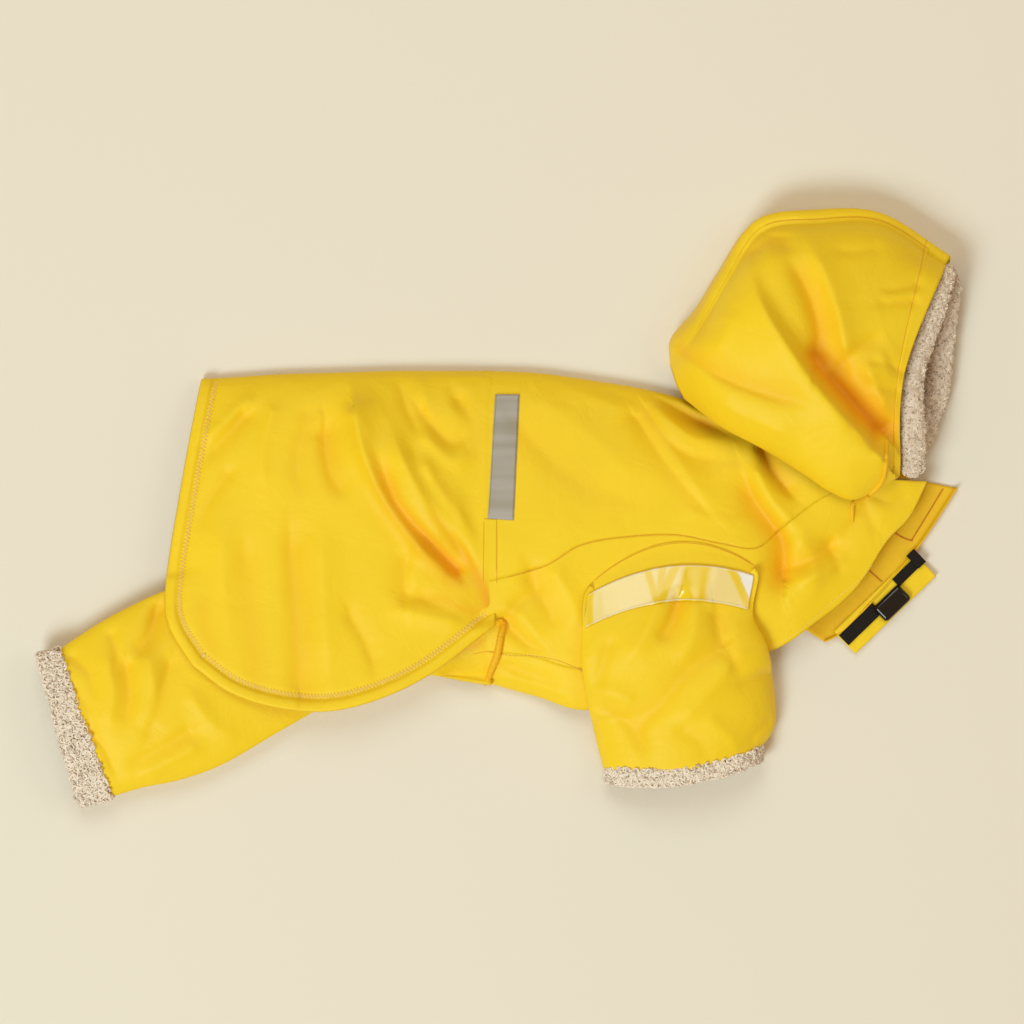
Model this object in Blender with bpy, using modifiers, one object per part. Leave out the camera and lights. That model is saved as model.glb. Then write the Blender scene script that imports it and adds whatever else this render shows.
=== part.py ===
"""A small dog's hooded raincoat with four legs, lying on its left side.

Lengths are in millimetres and become metres when a mesh is made. +X is the head end, +Y the spine and
+Z up. Every cloth piece is cut from a laid form: a tube or a folded sheet of cloth, lofted through a short
table of sections. A form's upper layer is the dog's right side and its under layer the left side.
"""
import math
import bpy
from mathutils import Matrix, Vector
from mathutils.bvhtree import BVHTree

MM = 0.001
WALL = 1.6             # coated nylon with its backing
SHERPA_WALL = 4.4      # curly pile, as a plain solid of its reach
PRESSED_WALL = 1.8     # the same pile where a limb is flattened under another
SEAM_GAP = 0.3         # between two sewn pieces
LAYER_GAP = 0.6        # between a layer and the one that it lies on
FLAT_LIMB = 7.0        # height of a flattened left sleeve or left leg
FOLD_EDGE = 4.2        # half the height of a soft folded edge
HIGH = 300.0           # above everything, where a plumb line starts

HEM_WALL = 2.4
CAPE_ROOM = HEM_WALL + LAYER_GAP   # the legs lie on the cape's left half
TAPE_THICK = 0.7
CASING_THICK = 1.2
BAND_THICK = 0.7
BAND_RISE = 2.0        # the band's outer face above the sleeve's
SEAM_RIDGE = 1.9
STRAP_THICK, WEBBING_THICK = 1.9, 1.3
BUCKLE_THICK = 5.6
BUCKLE_EDGE = 1.2
BODY_REACH, HIDDEN_REACH, LIMB_REACH = 3.0, 5.0, 7.0   # how far round a place the layer below is felt
SWELL_POWER = 0.55     # below 1 the section is fuller than an arch
FOLD_FADE = 0.1        # share of the width over which folds start from the fold edge
FLAT_EDGE, CUFF_EDGE, HOOD_EDGE = 3.4, 6.2, 10.0
HOOD_STRIP_LEFT, HOOD_STRIP_RIGHT = -0.86, 0.9         # the crown strip's two edges

YELLOW = (0.90, 0.62, 0.02, 1.0)
SHERPA = (0.58, 0.50, 0.41, 1.0)

# The body, a row for each section from the waist seam to the neck: the places in plan of its spine fold,
# back seam, belly seam (the front's free edge from the sixth row on) and belly fold (the underlap's outer
# edge from the seventh row on), and the height of its crown.
#    spine       back_seam    belly_seam   belly_fold   crown
BODY = (
    ((-4, 86),   (-5, -46),   (-5, -88),   (-7.5, -109), 29),
    ((20, 85),   (27, -36),   (20, -91),   (24, -117),  29),
    ((45, 82),   (52, -22),   (45, -98),   (53, -125),  29),
    ((65, 79),   (81, -17),   (84, -101),  (90, -119),  29),
    ((84, 76),   (110, -16),  (122, -97),  (128, -108), 29),
    ((98, 73),   (136, -21),  (167, -89),  (171, -93),  29),
    ((110, 70),  (160, -24),  (196, -71),  (210, -80),  28),
    ((120, 66),  (178, -10),  (222, -49),  (231, -60),  27),
    ((132, 61),  (196, 4),    (241, -20),  (254, -34),  26),
    ((146, 54),  (214, 14),   (255, -5),   (268, -15),  25),
    ((160, 48),  (228, 19),   (266, 17),   (286, 13),   24),
)
# The cape (rear flap), from the rear hem to the waist seam. Its under layer is the left half.
#    spine       upper_back   upper_side   upper_hem    under_hem    crown hem_rise
CAPE = (
    ((-185, 81), (-196, 20),  (-206, -43), (-190, -95), (-180, -86), 13,  9),
    ((-165, 82), (-172, 15),  (-177, -55), (-165, -114), (-160, -104), 22, 27),
    ((-135, 84), (-137, 15),  (-138, -55), (-136, -123), (-133, -112), 27, 31),
    ((-100, 85), (-101, 15),  (-102, -55), (-104, -125), (-103, -112), 29, 32),
    ((-68, 86),  (-69, 12),   (-70, -54),  (-72, -117), (-72, -106), 30,  31),
    ((-38, 86),  (-38, 14),   (-39, -48),  (-40, -101), (-41, -92),  30,  29),
    ((-4.8, 86), (-5.3, 20),  (-5.8, -30), (-5.8, -67), (-12, -62),  29,  26),
)
# A trouser leg, from the cuff to the waist: its two edges in plan and its crown above the ground.
#    upper_edge   lower_edge   bow  crown
LEG = (
    ((-274, -88), (-241, -179), 0,  27),
    ((-250, -72), (-221, -173), 0,  28),
    ((-228, -60), (-197, -168), 0,  28),
    ((-205, -50), (-170, -158), 0,  26),
    ((-165, -38), (-134, -137), 0,  23),
    ((-115, -34), (-97, -117),  0,  21),
    ((-60, -40),  (-58, -103),  0,  20),
    ((-6.6, -56), (-9, -108.2), 0,  20),
)
LEG_CUFF = (
    ((-286.5, -92), (-251, -185), 4, 28),
    ((-274.4, -88.2), (-241.4, -179.2), 0, 28),
)
# A sleeve, from the cuff to the armhole. The bow is how far a line across it runs towards the armhole on
# the outer layer; on the inner layer it runs the other way by the share below.
#    rear_edge   front_edge    bow  crown
SLEEVE = (
    ((65, -161), (163, -149),  -7,  33),
    ((59, -137), (172, -134),  -3,  36),
    ((54, -113), (171, -107),  2,   39),
    ((51, -93),  (166, -84),   7,   42),
    ((52, -76),  (158, -64),   12,  42),
    ((57, -53),  (159, -42),   13,  40),
    ((60, -47),  (157, -37),   20,  35),
)
SLEEVE_CUFF = (
    ((67, -170.5), (163.5, -157.5), -7, 34),
    ((68, -162.5), (163.2, -150.4), -7, 34),
)
INNER_BOW = -1.2
# The hood, from the back of the head to the face edge: on the upper layer its crown, crown seam, middle
# and neck line, on the under layer its middle and neck line, its height and the neck line's height.
#    crown       crown_seam  middle      upper_neck  under_middle under_neck  height neck_rise
HOOD = (
    ((110, 84),  (112, 82),  (114, 80),  (117, 76),  (115, 79),  (118, 75),  22, 14),
    ((107, 106), (116, 99),  (128, 78),  (139, 54),  (130, 80),  (144, 56.4), 50, 30),
    ((122, 124), (131, 116), (148, 78),  (162, 40),  (146, 84),  (166, 46.6), 59, 32),
    ((136, 147), (144, 139), (166, 82),  (186, 24),  (165, 90),  (187, 37.5), 63, 31),
    ((158, 177), (166, 166), (186, 90),  (204, 13),  (188, 96),  (206, 29.4), 63, 30),
    ((197, 185), (197, 174), (210, 90),  (219, 6),   (214, 96),  (224, 21.7), 59, 30),
    ((238, 180), (234, 172), (236, 88),  (234, 12),  (244, 92),  (242, 19.3), 53, 28),
    ((281, 154), (272, 148), (250, 84),  (248, 20),  (272, 84),  (257, 18.5), 46, 26),
)
HOOD_SHERPA = (
    ((281.6, 153.8), (272.8, 147.6), (250.6, 84), (248.6, 20), (272.6, 84), (257.6, 19.4), 46, 28),
    ((286, 150),     (281, 140),     (263, 84),   (262, 23),   (280, 82),   (265, 31),     42, 27),
)
# The largest folds, each a soft ridge (rise > 0) or trough (rise < 0) along a bent line in plan.
#    start       bend         end          rise half_width
BODY_FOLDS = (
    ((180, 26),  (176, 8),    (178, -10),  -6,  7),
    ((180, 2),   (190, -28),  (208, -44),  -5,  8),
    ((22, -70),  (12, -66),   (4, -62),    -3,  6),
)
CAPE_FOLDS = (
    ((-93, 6),   (-86, 52),   (-58, 60),   8,   12),
    ((-80, 42),  (-62, 2),    (-32, -35),  -9,  9),
    ((-66, 20),  (-44, -14),  (-14, -54),  5,   6),
    ((-49, 6),   (-26, -20),  (-9, -60),   -9,  6),
    ((-60, -52), (-36, -58),  (-16, -62),  -4,  7),
)
SLEEVE_FOLDS = (
    ((106, -62), (102, -70),  (98, -80),   -6,  6),
    ((150, -76), (140, -92),  (138, -114), -5,  8),
    ((84, -90),  (74, -112),  (70, -138),  3,   9),
)
LEG_FOLDS = (
    ((-214, -84), (-228, -108), (-244, -132), -4, 8),
    ((-196, -148), (-216, -156), (-236, -166), -3, 6),
)
HOOD_FOLDS = (
    ((152, 152), (176, 112),  (226, 32),   8,   9),
    ((192, 142), (198, 84),   (232, 56),   -14, 11),
    ((208, 160), (226, 118),  (232, 92),   5,   12),
)
# Flat pieces laid on the coat, by their four corners in plan, going round.
TAPE_CORNERS = ((-2, 71), (13, 71), (9.5, -7), (-6.5, -6))
CASING_CORNERS = ((-9, -6.6), (-0.6, -6.9), (-1, -46), (-9.4, -46))
WAIST_RIDGE = ((5, -71), (2, -79), (1, -87), (0, -96), (-4, -105))
# The belt lies along the underlap's outer edge: its start, its direction and its pieces' extent along it
# (from, to) and across it (inner side, outer side).
BELT_START = (211.6, -79.1)
BELT_ANGLE = math.radians(44.0)
STRAP_SPAN = (0.0, 70.0, 0.0, 15.5)
WEBBING_SPANS = {"belt_webbing_lower": (0.5, 26.5, 0.9, 10.9), "belt_webbing_upper": (50.0, 66.0, 0.9, 7.6)}
BUCKLE_SPAN = (27.2, 49.2, 2.2, 14.8)
LOOP_SPAN = (66.5, 71.5, 0.9, 10.0)

for old in list(bpy.data.objects):
    bpy.data.objects.remove(old)
PARTS = bpy.data.collections.new("dog_raincoat")
bpy.context.scene.collection.children.link(PARTS)


def finish(name, colour, roughness, metallic=0.0):
    """A material of the piece's own."""
    material = bpy.data.materials.new(name)
    material.use_nodes = True
    shader = material.node_tree.nodes["Principled BSDF"]
    shader.inputs["Base Color"].default_value = colour
    shader.inputs["Roughness"].default_value = roughness
    shader.inputs["Metallic"].default_value = metallic
    return material


def add_piece(name, points, faces, wall, material):
    """An object of one open sheet of faces, with its wall inwards of them."""
    mesh = bpy.data.meshes.new(name)
    mesh.from_pydata([Vector(p) * MM for p in points], [], faces)
    mesh.update()
    mesh.shade_smooth()
    piece = bpy.data.objects.new(name, mesh)
    PARTS.objects.link(piece)
    mesh.materials.append(material)
    solid = piece.modifiers.new("wall", "SOLIDIFY")
    solid.thickness = wall * MM
    solid.offset = -1.0
    return piece


def smooth_value(values, t):
    """Catmull-Rom through values (numbers or vectors) at t, counted in rows."""
    last = len(values) - 1
    i = min(int(max(t, 0.0)), last - 1)
    f = min(max(t - i, 0.0), 1.0)
    b, c = values[i], values[i + 1]
    a = values[i - 1] if i > 0 else b * 2 - c
    d = values[i + 2] if i + 2 <= last else c * 2 - b
    curve = (b * 3 - a - c * 3 + d) * f + (a * 2 - b * 5 + c * 4 - d)
    return (b * 2 + (c - a) * f + curve * f * f) * 0.5


def fold_lift(folds, x, y):
    """Height that a table of folds adds at a place in plan."""
    lift = 0.0
    for start, bend, end, rise, half_width in folds:
        nearest = HIGH
        for (ax, ay), (bx, by) in ((start, bend), (bend, end)):
            ux, uy = bx - ax, by - ay
            t = min(max(((x - ax) * ux + (y - ay) * uy) / (ux * ux + uy * uy), 0.0), 1.0)
            nearest = min(nearest, math.hypot(x - ax - ux * t, y - ay - uy * t))
        lift += rise * math.exp(-(nearest / half_width) ** 2)
    return lift


def ramp(x, start, end):
    """Smooth step from 0 at start to 1 at end."""
    t = min(max((x - start) / (end - start), 0.0), 1.0)
    return t * t * (3 - 2 * t)


def spread(start, end, count, dense_start=False, dense_end=False):
    """Steps from start to end, closer together at an end that is a fold."""
    steps = []
    for i in range(count + 1):
        f = i / count
        if dense_start and dense_end:
            f = (1 - math.cos(math.pi * f)) / 2
        elif dense_start:
            f = 1 - math.cos(math.pi * f / 2)
        elif dense_end:
            f = math.sin(math.pi * f / 2)
        steps.append(start + (end - start) * f)
    return steps


def column(table, *places):
    """Columns of a table of sections, each as a list of vectors or numbers."""
    picked = [[row[k] for row in table] for k in places]
    return [[Vector(v) if isinstance(v, tuple) else float(v) for v in values] for values in picked]


class LaidForm:
    """A tube, or a sheet folded at one edge, lying on its side.

    upper and under are its lines in plan, from the fold edge on. A place on it is s, in rows of its table,
    and t: 0 on the fold edge, 1 on the next line, and so on, negative on the under layer.
    """

    def __init__(self, upper, under, crowns, folds=(), tube=True, edge=FOLD_EDGE):
        self.upper, self.under, self.crowns = upper, under, crowns
        self.folds, self.tube, self.edge = folds, tube, edge
        self.end_rises = None                      # height of a sheet's free edge, by rows
        self.bows = None                           # how far a line across a sleeve bows, by rows
        self.bow_side = 1                          # 1 where the outer layer is the upper one
        self.ground = lambda x, y: 0.0             # what the under layer lies on
        self.cover = lambda x, y: 0.0              # the least height of the upper layer

    def plan(self, s, t):
        """The place in plan, its share of the way across, and the section's width."""
        lines = self.upper if t >= 0 else self.under
        knots = [smooth_value(line, s) for line in lines]
        runs = [(b - a).length for a, b in zip(knots, knots[1:])]
        k = min(int(abs(t)), len(runs) - 1)
        place = knots[k].lerp(knots[k + 1], abs(t) - k)
        share = (sum(runs[:k]) + runs[k] * (abs(t) - k)) / sum(runs)
        if self.bows:
            outer = (t >= 0) == (self.bow_side > 0)
            bow = smooth_value(self.bows, s)
            place.y += bow * (1 if outer or bow < 0 else INNER_BOW) * math.sin(math.pi * share)
        return place, share, sum(runs)

    def point(self, s, t, out=0.0):
        """A point of the outer face, moved out along Z."""
        place, share, width = self.plan(s, t)
        x, y = place
        ground = self.ground(x, y)
        if t < 0:
            inward = (min(share, 1 - share) if self.tube else share) * width
            k = 1 - min(inward / self.edge, 1.0)
            return Vector((x, y, ground + self.edge * (1 - math.sqrt(max(1 - k * k, 0.0))) - out))
        near = ground + self.edge
        far = smooth_value(self.end_rises, s) if self.end_rises else near
        side = near + (far - near) * share
        swell = max(4 * share * (1 - share), 0.0) ** SWELL_POWER
        z = side + (smooth_value(self.crowns, s) - side) * swell
        z += fold_lift(self.folds, x, y) * min(share / FOLD_FADE, 1.0)
        if share > 0.02:
            z = max(z, self.cover(x, y))
        return Vector((x, y, z + out))

    def top_tree(self):
        """The whole upper layer, without its openings, for a plumb line."""
        stations = spread(0, len(self.crowns) - 1, 40)
        lines = spread(0, len(self.upper) - 1, 24)
        n = len(lines)
        points = [self.point(s, t) for s in stations for t in lines]
        faces = [(i * n + j, i * n + j + 1, (i + 1) * n + j + 1, (i + 1) * n + j)
                 for i in range(len(stations) - 1) for j in range(n - 1)]
        return BVHTree.FromPolygons(points, faces)


def resting_on(*trees, clear=LAYER_GAP, reach=BODY_REACH):
    """The height just clear of the highest of these forms at, or close to, a place."""
    down = Vector((0, 0, -1))
    steps = [(0, 0)]
    for far in (reach, reach / 2):
        steps += [(far, 0), (-far, 0), (0, far), (0, -far)]

    def height(x, y):
        starts = [Vector((x + across, y + along, HIGH)) for across, along in steps]
        hits = [tree.ray_cast(start, down)[0] for start in starts for tree in trees]
        return max([hit.z + clear for hit in hits if hit], default=0.0)
    return height


def cut_panel(name, form, stations, lines, material, wall=WALL, hole=None, closed=False, out=0.0):
    """A panel of a form's cells between stations and lines, less a rectangular hole of cells."""
    n = len(lines)
    points = [form.point(s, t, out) for s in stations for t in lines]
    faces = []
    for i in range(len(stations) - 1):
        for j in range(n if closed else n - 1):
            if hole and hole[0] <= i < hole[1] and hole[2] <= j < hole[3]:
                continue
            k = (j + 1) % n
            faces.append((i * n + j, i * n + k, (i + 1) * n + k, (i + 1) * n + j))
    used = sorted({v for face in faces for v in face})
    number = {v: i for i, v in enumerate(used)}
    faces = [tuple(number[v] for v in face) for face in faces]
    return add_piece(name, [points[v] for v in used], faces, wall, material)


def cut_tube(name, form, stations, material, wall=WALL, upper=12, under=8):
    """The whole tube between stations, open at both ends."""
    ring = spread(0, 1, upper, True, True) + spread(-1, 0, under, True, True)[1:-1]
    ring = [min(t, 1.0 - 1e-6) if t > 0 else t for t in ring]
    return cut_panel(name, form, stations, ring, material, wall, closed=True)


def inset(table, step):
    """A limb's table with its two edges drawn in towards each other."""
    rows = []
    for a, b, *rest in table:
        a, b = Vector(a), Vector(b)
        draw = (b - a).normalized() * step
        rows.append((tuple(a + draw), tuple(b - draw), *rest))
    return rows


def limb_form(table, folds=(), edge=FOLD_EDGE, step=0.0, flat=None):
    """The laid form of a sleeve, leg or cuff; flat gives a flattened one its height."""
    edge_a, edge_b, bows, crowns = column(inset(table, step), 0, 1, 2, 3)
    if flat:
        crowns = [flat for _ in crowns]
    form = LaidForm([edge_a, edge_b], [edge_a, edge_b], crowns, folds, edge=edge)
    form.bows = bows
    return form


def lay_strip(name, corners, thick, over, material, across=2, along=10):
    """A flat piece laid over the coat between its corners in plan."""
    a, b, c, d = (Vector(p) for p in corners)
    points = []
    for i in range(along + 1):
        left, right = a.lerp(d, i / along), b.lerp(c, i / along)
        for j in range(across + 1):
            x, y = left.lerp(right, j / across)
            points.append((x, y, over(x, y) + thick))
    n = across + 1
    faces = [(i * n + j, (i + 1) * n + j, (i + 1) * n + j + 1, i * n + j + 1)
             for i in range(along) for j in range(across)]
    return add_piece(name, points, faces, thick, material)


def belt_block(name, span, bottom, thick, material, bevel=0.0):
    """A flat block of the belt, placed by its extent along and across the belt."""
    start, end, inner, outer = (v * MM for v in span)
    bpy.ops.mesh.primitive_cube_add(size=1.0)
    block = bpy.context.object
    block.name = block.data.name = name
    for other in block.users_collection:
        other.objects.unlink(block)
    PARTS.objects.link(block)
    along = Vector((math.cos(BELT_ANGLE), math.sin(BELT_ANGLE), 0))
    across = Vector((along.y, -along.x, 0))
    block.data.transform(Matrix.Diagonal((end - start, outer - inner, thick * MM, 1)))
    block.rotation_euler.z = BELT_ANGLE
    middle = Vector((*BELT_START, 0)) * MM + along * (start + end) / 2 + across * (inner + outer) / 2
    block.location = (middle.x, middle.y, (bottom + thick / 2) * MM)
    block.data.materials.append(material)
    if bevel:
        edge = block.modifiers.new("edge", "BEVEL")
        edge.width = bevel * MM
        edge.segments = 3
    return block


# Forms, from the ground up.
LEFT_INSET = 3.0
left_leg = limb_form(LEG, step=LEFT_INSET, flat=CAPE_ROOM + FLAT_LIMB, edge=FLAT_EDGE)
left_leg.ground = lambda x, y: CAPE_ROOM
left_sleeve = limb_form(SLEEVE, step=LEFT_INSET, flat=FLAT_LIMB, edge=FLAT_EDGE)
left_sleeve.bow_side = -1
right_leg = limb_form(LEG, LEG_FOLDS)
LEG_BASE = CAPE_ROOM + FLAT_LIMB + LAYER_GAP
CAPE_CLEAR = HEM_WALL + LAYER_GAP + 1.0
right_leg.ground = lambda x, y: LEG_BASE

spine, back_seam, belly_seam, belly_fold, crowns = column(BODY, 0, 1, 2, 3, 4)
body = LaidForm([spine, back_seam, belly_seam, belly_fold], [spine, back_seam, belly_seam, belly_fold],
                crowns, BODY_FOLDS)
body.ground = lambda x, y: (FLAT_LIMB + LAYER_GAP) * (
    ramp(x, 20, 46) * (1 - ramp(x, 182, 206)) * ramp(-y, -20, 14))
body_top = body.top_tree()

spine, upper_back, upper_side, upper_hem, under_hem, crowns, hem_rise = column(CAPE, 0, 1, 2, 3, 4, 5, 6)
cape = LaidForm([spine, upper_back, upper_side, upper_hem], [spine, under_hem], crowns, CAPE_FOLDS,
                tube=False)
cape.end_rises = hem_rise
cape.cover = resting_on(right_leg.top_tree(), clear=CAPE_CLEAR, reach=LIMB_REACH)
cape_top = cape.top_tree()

right_sleeve = limb_form(SLEEVE, SLEEVE_FOLDS)
left_cuff = limb_form(SLEEVE_CUFF, edge=FLAT_EDGE, step=LEFT_INSET, flat=FLAT_LIMB)
left_cuff.bow_side = -1
right_sleeve.ground = resting_on(body_top, left_sleeve.top_tree(), left_cuff.top_tree(), reach=LIMB_REACH)

crown, crown_seam, middle, neck, under_middle, under_neck, heights, neck_rise = column(
    HOOD, 0, 1, 2, 3, 4, 5, 6, 7)
hood = LaidForm([crown, crown_seam, middle, neck], [crown, crown_seam, under_middle, under_neck], heights,
                HOOD_FOLDS, tube=False, edge=HOOD_EDGE)
hood.end_rises = neck_rise
hood.cover = resting_on(body_top, clear=WALL + LAYER_GAP)

# The cape with its turned hem, and the back panel: each is one piece folded over the spine.
HEM_ROWS, HEM_UPPER, HEM_UNDER = 0.3, 0.12, 0.042
UPPER_BACK = spread(0, 1, 6, dense_start=True)
cape_lines = (spread(-1 + HEM_UNDER, 0, 5, dense_end=True)[:-1] + UPPER_BACK + spread(1, 2, 5)[1:]
              + spread(2, 3 - HEM_UPPER, 5)[1:])
cape_stations = spread(HEM_ROWS, 6, 16)
cut_panel("cape", cape, cape_stations, cape_lines, finish("cape", YELLOW, 0.5))
hem_gap = SEAM_GAP / 60
hem_lines = [-1, -1 + HEM_UNDER - hem_gap] + cape_lines[1:-1] + [3 - HEM_UPPER + hem_gap * 3, 3]
hem_stations = [0, HEM_ROWS - SEAM_GAP / 12] + cape_stations[1:]
cut_panel("cape_hem", cape, hem_stations, hem_lines, finish("cape_hem", YELLOW, 0.5), wall=HEM_WALL,
          hole=(1, len(hem_stations) - 1, 1, len(hem_lines) - 2))

seam = SEAM_GAP / 120          # half a gap at the back seam, in shares of the back's width
seam_side = SEAM_GAP / 60      # half a gap at a seam of the narrower side panels
body_stations = [0, 0.6, 1.2, 1.8, 2.5, 2.95, 3.4, 3.9, 4.35, 4.8] + spread(5, 10, 9)
back_lines = spread(-1 + seam, 0, 5, dense_end=True)[:-1] + spread(0, 1 - seam, 6, dense_start=True)
cut_panel("back_panel", body, body_stations, back_lines, finish("back_panel", YELLOW, 0.5))

# The side panels, with an armhole each; the front's free edge is their last line.
side_lines = [1 + seam_side, 1.10, 1.38, 1.66, 2 - seam_side]
ARMHOLE = (4, 9, 1, 3)
cut_panel("side_right", body, body_stations, side_lines, finish("side_right", YELLOW, 0.5), hole=ARMHOLE)
cut_panel("side_left", body, body_stations, [-t for t in reversed(side_lines)],
          finish("side_left", YELLOW, 0.5), hole=ARMHOLE)

# The belly panel is folded over the belly; the underlap edges the left front.
belly_lines = spread(2 + seam_side * 2, 3, 4, dense_end=True) + spread(-3, -2 - seam_side * 2, 3, True)[1:]
belly_lines = [min(t, 3.0 - 1e-6) for t in belly_lines]
cut_panel("belly_panel", body, body_stations[:10] + [4.95], belly_lines, finish("belly_panel", YELLOW, 0.5))
cut_panel("underlap", body, [t for t in body_stations if t > 5.8], spread(-3, -2 - seam_side * 3, 3, True),
          finish("underlap", YELLOW, 0.5))

# Trouser legs and sleeves, each with its sherpa cuff.
leg_stations = spread(0, 7, 12)
cut_tube("leg_left", left_leg, leg_stations, finish("leg_left", YELLOW, 0.5), upper=8, under=8)
cut_tube("leg_right", right_leg, leg_stations, finish("leg_right", YELLOW, 0.5))
sleeve_stations = spread(0, 6, 11)
cut_tube("sleeve_left", left_sleeve, sleeve_stations, finish("sleeve_left", YELLOW, 0.5), upper=8, under=8)
cut_tube("sleeve_right", right_sleeve, sleeve_stations, finish("sleeve_right", YELLOW, 0.5))

CUFFS = (
    ("cuff_leg_left", LEG_CUFF, left_leg.ground, CAPE_ROOM + FLAT_LIMB, 1),
    ("cuff_leg_right", LEG_CUFF, right_leg.ground, None, 1),
    ("cuff_sleeve_left", SLEEVE_CUFF, left_sleeve.ground, FLAT_LIMB, -1),
    ("cuff_sleeve_right", SLEEVE_CUFF, right_sleeve.ground, None, 1),
)
for name, table, ground, flat, bow_side in CUFFS:
    edge, step = (FLAT_EDGE, LEFT_INSET) if flat else (CUFF_EDGE, 0.0)
    form = limb_form(table, edge=edge, step=step, flat=flat)
    form.ground, form.bow_side = ground, bow_side
    cut_tube(name, form, [0, 0.5, 1], finish(name, SHERPA, 0.9), wall=PRESSED_WALL if flat else SHERPA_WALL,
             upper=10, under=6)

# The clear vinyl band goes round the outer layer of the sleeve.
cut_panel("sleeve_band", right_sleeve, spread(4.05, 4.95, 3), spread(0.03, 0.97, 10, True, True),
          finish("sleeve_band", (0.85, 0.75, 0.45, 1.0), 0.1), wall=BAND_THICK, out=BAND_RISE)

# The hood: two sides with a crown strip between them, a face hem, and sherpa round the face.
FACE = 6.8
hood_stations = spread(0, FACE, 14)
seam_hood = SEAM_GAP / 100     # half a gap at a seam of the hood's sides
cut_panel("hood_crown", hood, hood_stations, [HOOD_STRIP_LEFT, HOOD_STRIP_LEFT / 2, 0, HOOD_STRIP_RIGHT / 2,
                                              HOOD_STRIP_RIGHT], finish("hood_crown", YELLOW, 0.5))
right_lines = spread(1 + seam_hood, 2, 5) + spread(2, 3, 5, False, True)[1:]
cut_panel("hood_right", hood, hood_stations, right_lines, finish("hood_right", YELLOW, 0.5))
left_lines = spread(-3, -1 - seam_hood, 6)
cut_panel("hood_left", hood, hood_stations, left_lines, finish("hood_left", YELLOW, 0.5))
face_lines = spread(-3, -1, 5)[:-1] + spread(-1, 1, 4) + spread(1, 3, 8)[1:]
cut_panel("hood_hem", hood, [FACE + 0.07, 7], face_lines, finish("hood_hem", YELLOW, 0.5), wall=HEM_WALL)
crown, crown_seam, middle, neck, under_middle, under_neck, heights, neck_rise = column(
    HOOD_SHERPA, 0, 1, 2, 3, 4, 5, 6, 7)
face = LaidForm([crown, crown_seam, middle, neck], [crown, crown_seam, under_middle, under_neck], heights,
                HOOD_FOLDS, tube=False, edge=HOOD_EDGE)
face.end_rises = neck_rise
face.cover = resting_on(body_top, clear=SHERPA_WALL + LAYER_GAP)
cut_panel("hood_sherpa", face, [0, 0.5, 1], face_lines, finish("hood_sherpa", SHERPA, 0.9), wall=SHERPA_WALL)

# Strips laid over the waist seam, and the gathered seam that stands up at the waist.
over_coat = resting_on(body_top, cape_top, clear=SEAM_GAP)
under_casing = resting_on(body_top, cape_top, reach=HIDDEN_REACH)
lay_strip("reflective_tape", TAPE_CORNERS, TAPE_THICK, over_coat,
          finish("reflective_tape", (0.4, 0.37, 0.34, 1), 0.3))
lay_strip("casing", CASING_CORNERS, CASING_THICK, under_casing, finish("casing", YELLOW, 0.5), along=6)
ridge = bpy.data.curves.new("waist_seam", "CURVE")
ridge.dimensions = "3D"
ridge.bevel_depth = SEAM_RIDGE * MM
ridge.bevel_resolution = 2
ridge.use_fill_caps = True
path = [Vector(p) for p in WAIST_RIDGE]
steps = spread(0, len(path) - 1, 12)
line = ridge.splines.new("POLY")
line.points.add(len(steps) - 1)
for spot, step in zip(line.points, steps):
    x, y = smooth_value(path, step)
    spot.co = (x * MM, y * MM, (over_coat(x, y) + SEAM_RIDGE + SEAM_GAP) * MM, 1.0)
ridge_piece = bpy.data.objects.new("waist_seam", ridge)
ridge.materials.append(finish("waist_seam", YELLOW, 0.5))
PARTS.objects.link(ridge_piece)

# The belt: a yellow strap, black webbing on it from both sides of the buckle, and a loop at its end.
BLACK = (0.01, 0.01, 0.01, 1.0)
belt_block("belt_strap", STRAP_SPAN, 0.0, STRAP_THICK, finish("belt_strap", YELLOW, 0.5))
webbing_bottom = STRAP_THICK + SEAM_GAP
for name, span in WEBBING_SPANS.items():
    belt_block(name, span, webbing_bottom, WEBBING_THICK, finish(name, BLACK, 0.7))
belt_block("belt_loop", LOOP_SPAN, webbing_bottom, WEBBING_THICK, finish("belt_loop", BLACK, 0.7))
belt_block("buckle", BUCKLE_SPAN, webbing_bottom, BUCKLE_THICK, finish("buckle", BLACK, 0.2), BUCKLE_EDGE)
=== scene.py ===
import math
import bpy
import numpy as np
from mathutils import Matrix, Vector, noise
from mathutils.bvhtree import BVHTree


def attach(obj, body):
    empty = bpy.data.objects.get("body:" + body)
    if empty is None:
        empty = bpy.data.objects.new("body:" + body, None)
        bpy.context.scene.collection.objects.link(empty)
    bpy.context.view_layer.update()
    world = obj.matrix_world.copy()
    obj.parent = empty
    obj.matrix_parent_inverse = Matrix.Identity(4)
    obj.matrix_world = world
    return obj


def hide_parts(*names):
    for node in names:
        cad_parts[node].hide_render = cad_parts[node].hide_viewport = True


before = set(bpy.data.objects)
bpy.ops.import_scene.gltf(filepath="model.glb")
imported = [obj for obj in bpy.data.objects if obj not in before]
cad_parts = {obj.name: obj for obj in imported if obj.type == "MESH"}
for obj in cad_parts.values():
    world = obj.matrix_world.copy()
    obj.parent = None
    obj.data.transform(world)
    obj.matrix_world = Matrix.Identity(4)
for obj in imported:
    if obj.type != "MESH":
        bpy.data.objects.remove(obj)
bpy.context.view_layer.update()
MM = 0.001

# Back panel: coated yellow nylon, folded over the spine, from the waist seam to the neck.
# One cut piece; the two side panels are sewn to its long edges.
NYLON_YELLOW = (0.960, 0.660, 0.014, 1.0)
# The fold troughs are tinted towards this orange by their depth: painted shade in the creases.
FOLD_SHADE_ORANGE = (0.900, 0.350, 0.006, 1.0)
NYLON_WALL = 1.0
FOLD_EDGE = 4.2
SWELL_POWER = 0.55
FLAT_LIMB = 7.0
LAYER_GAP = 0.6
BLEND = 2.5
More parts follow.
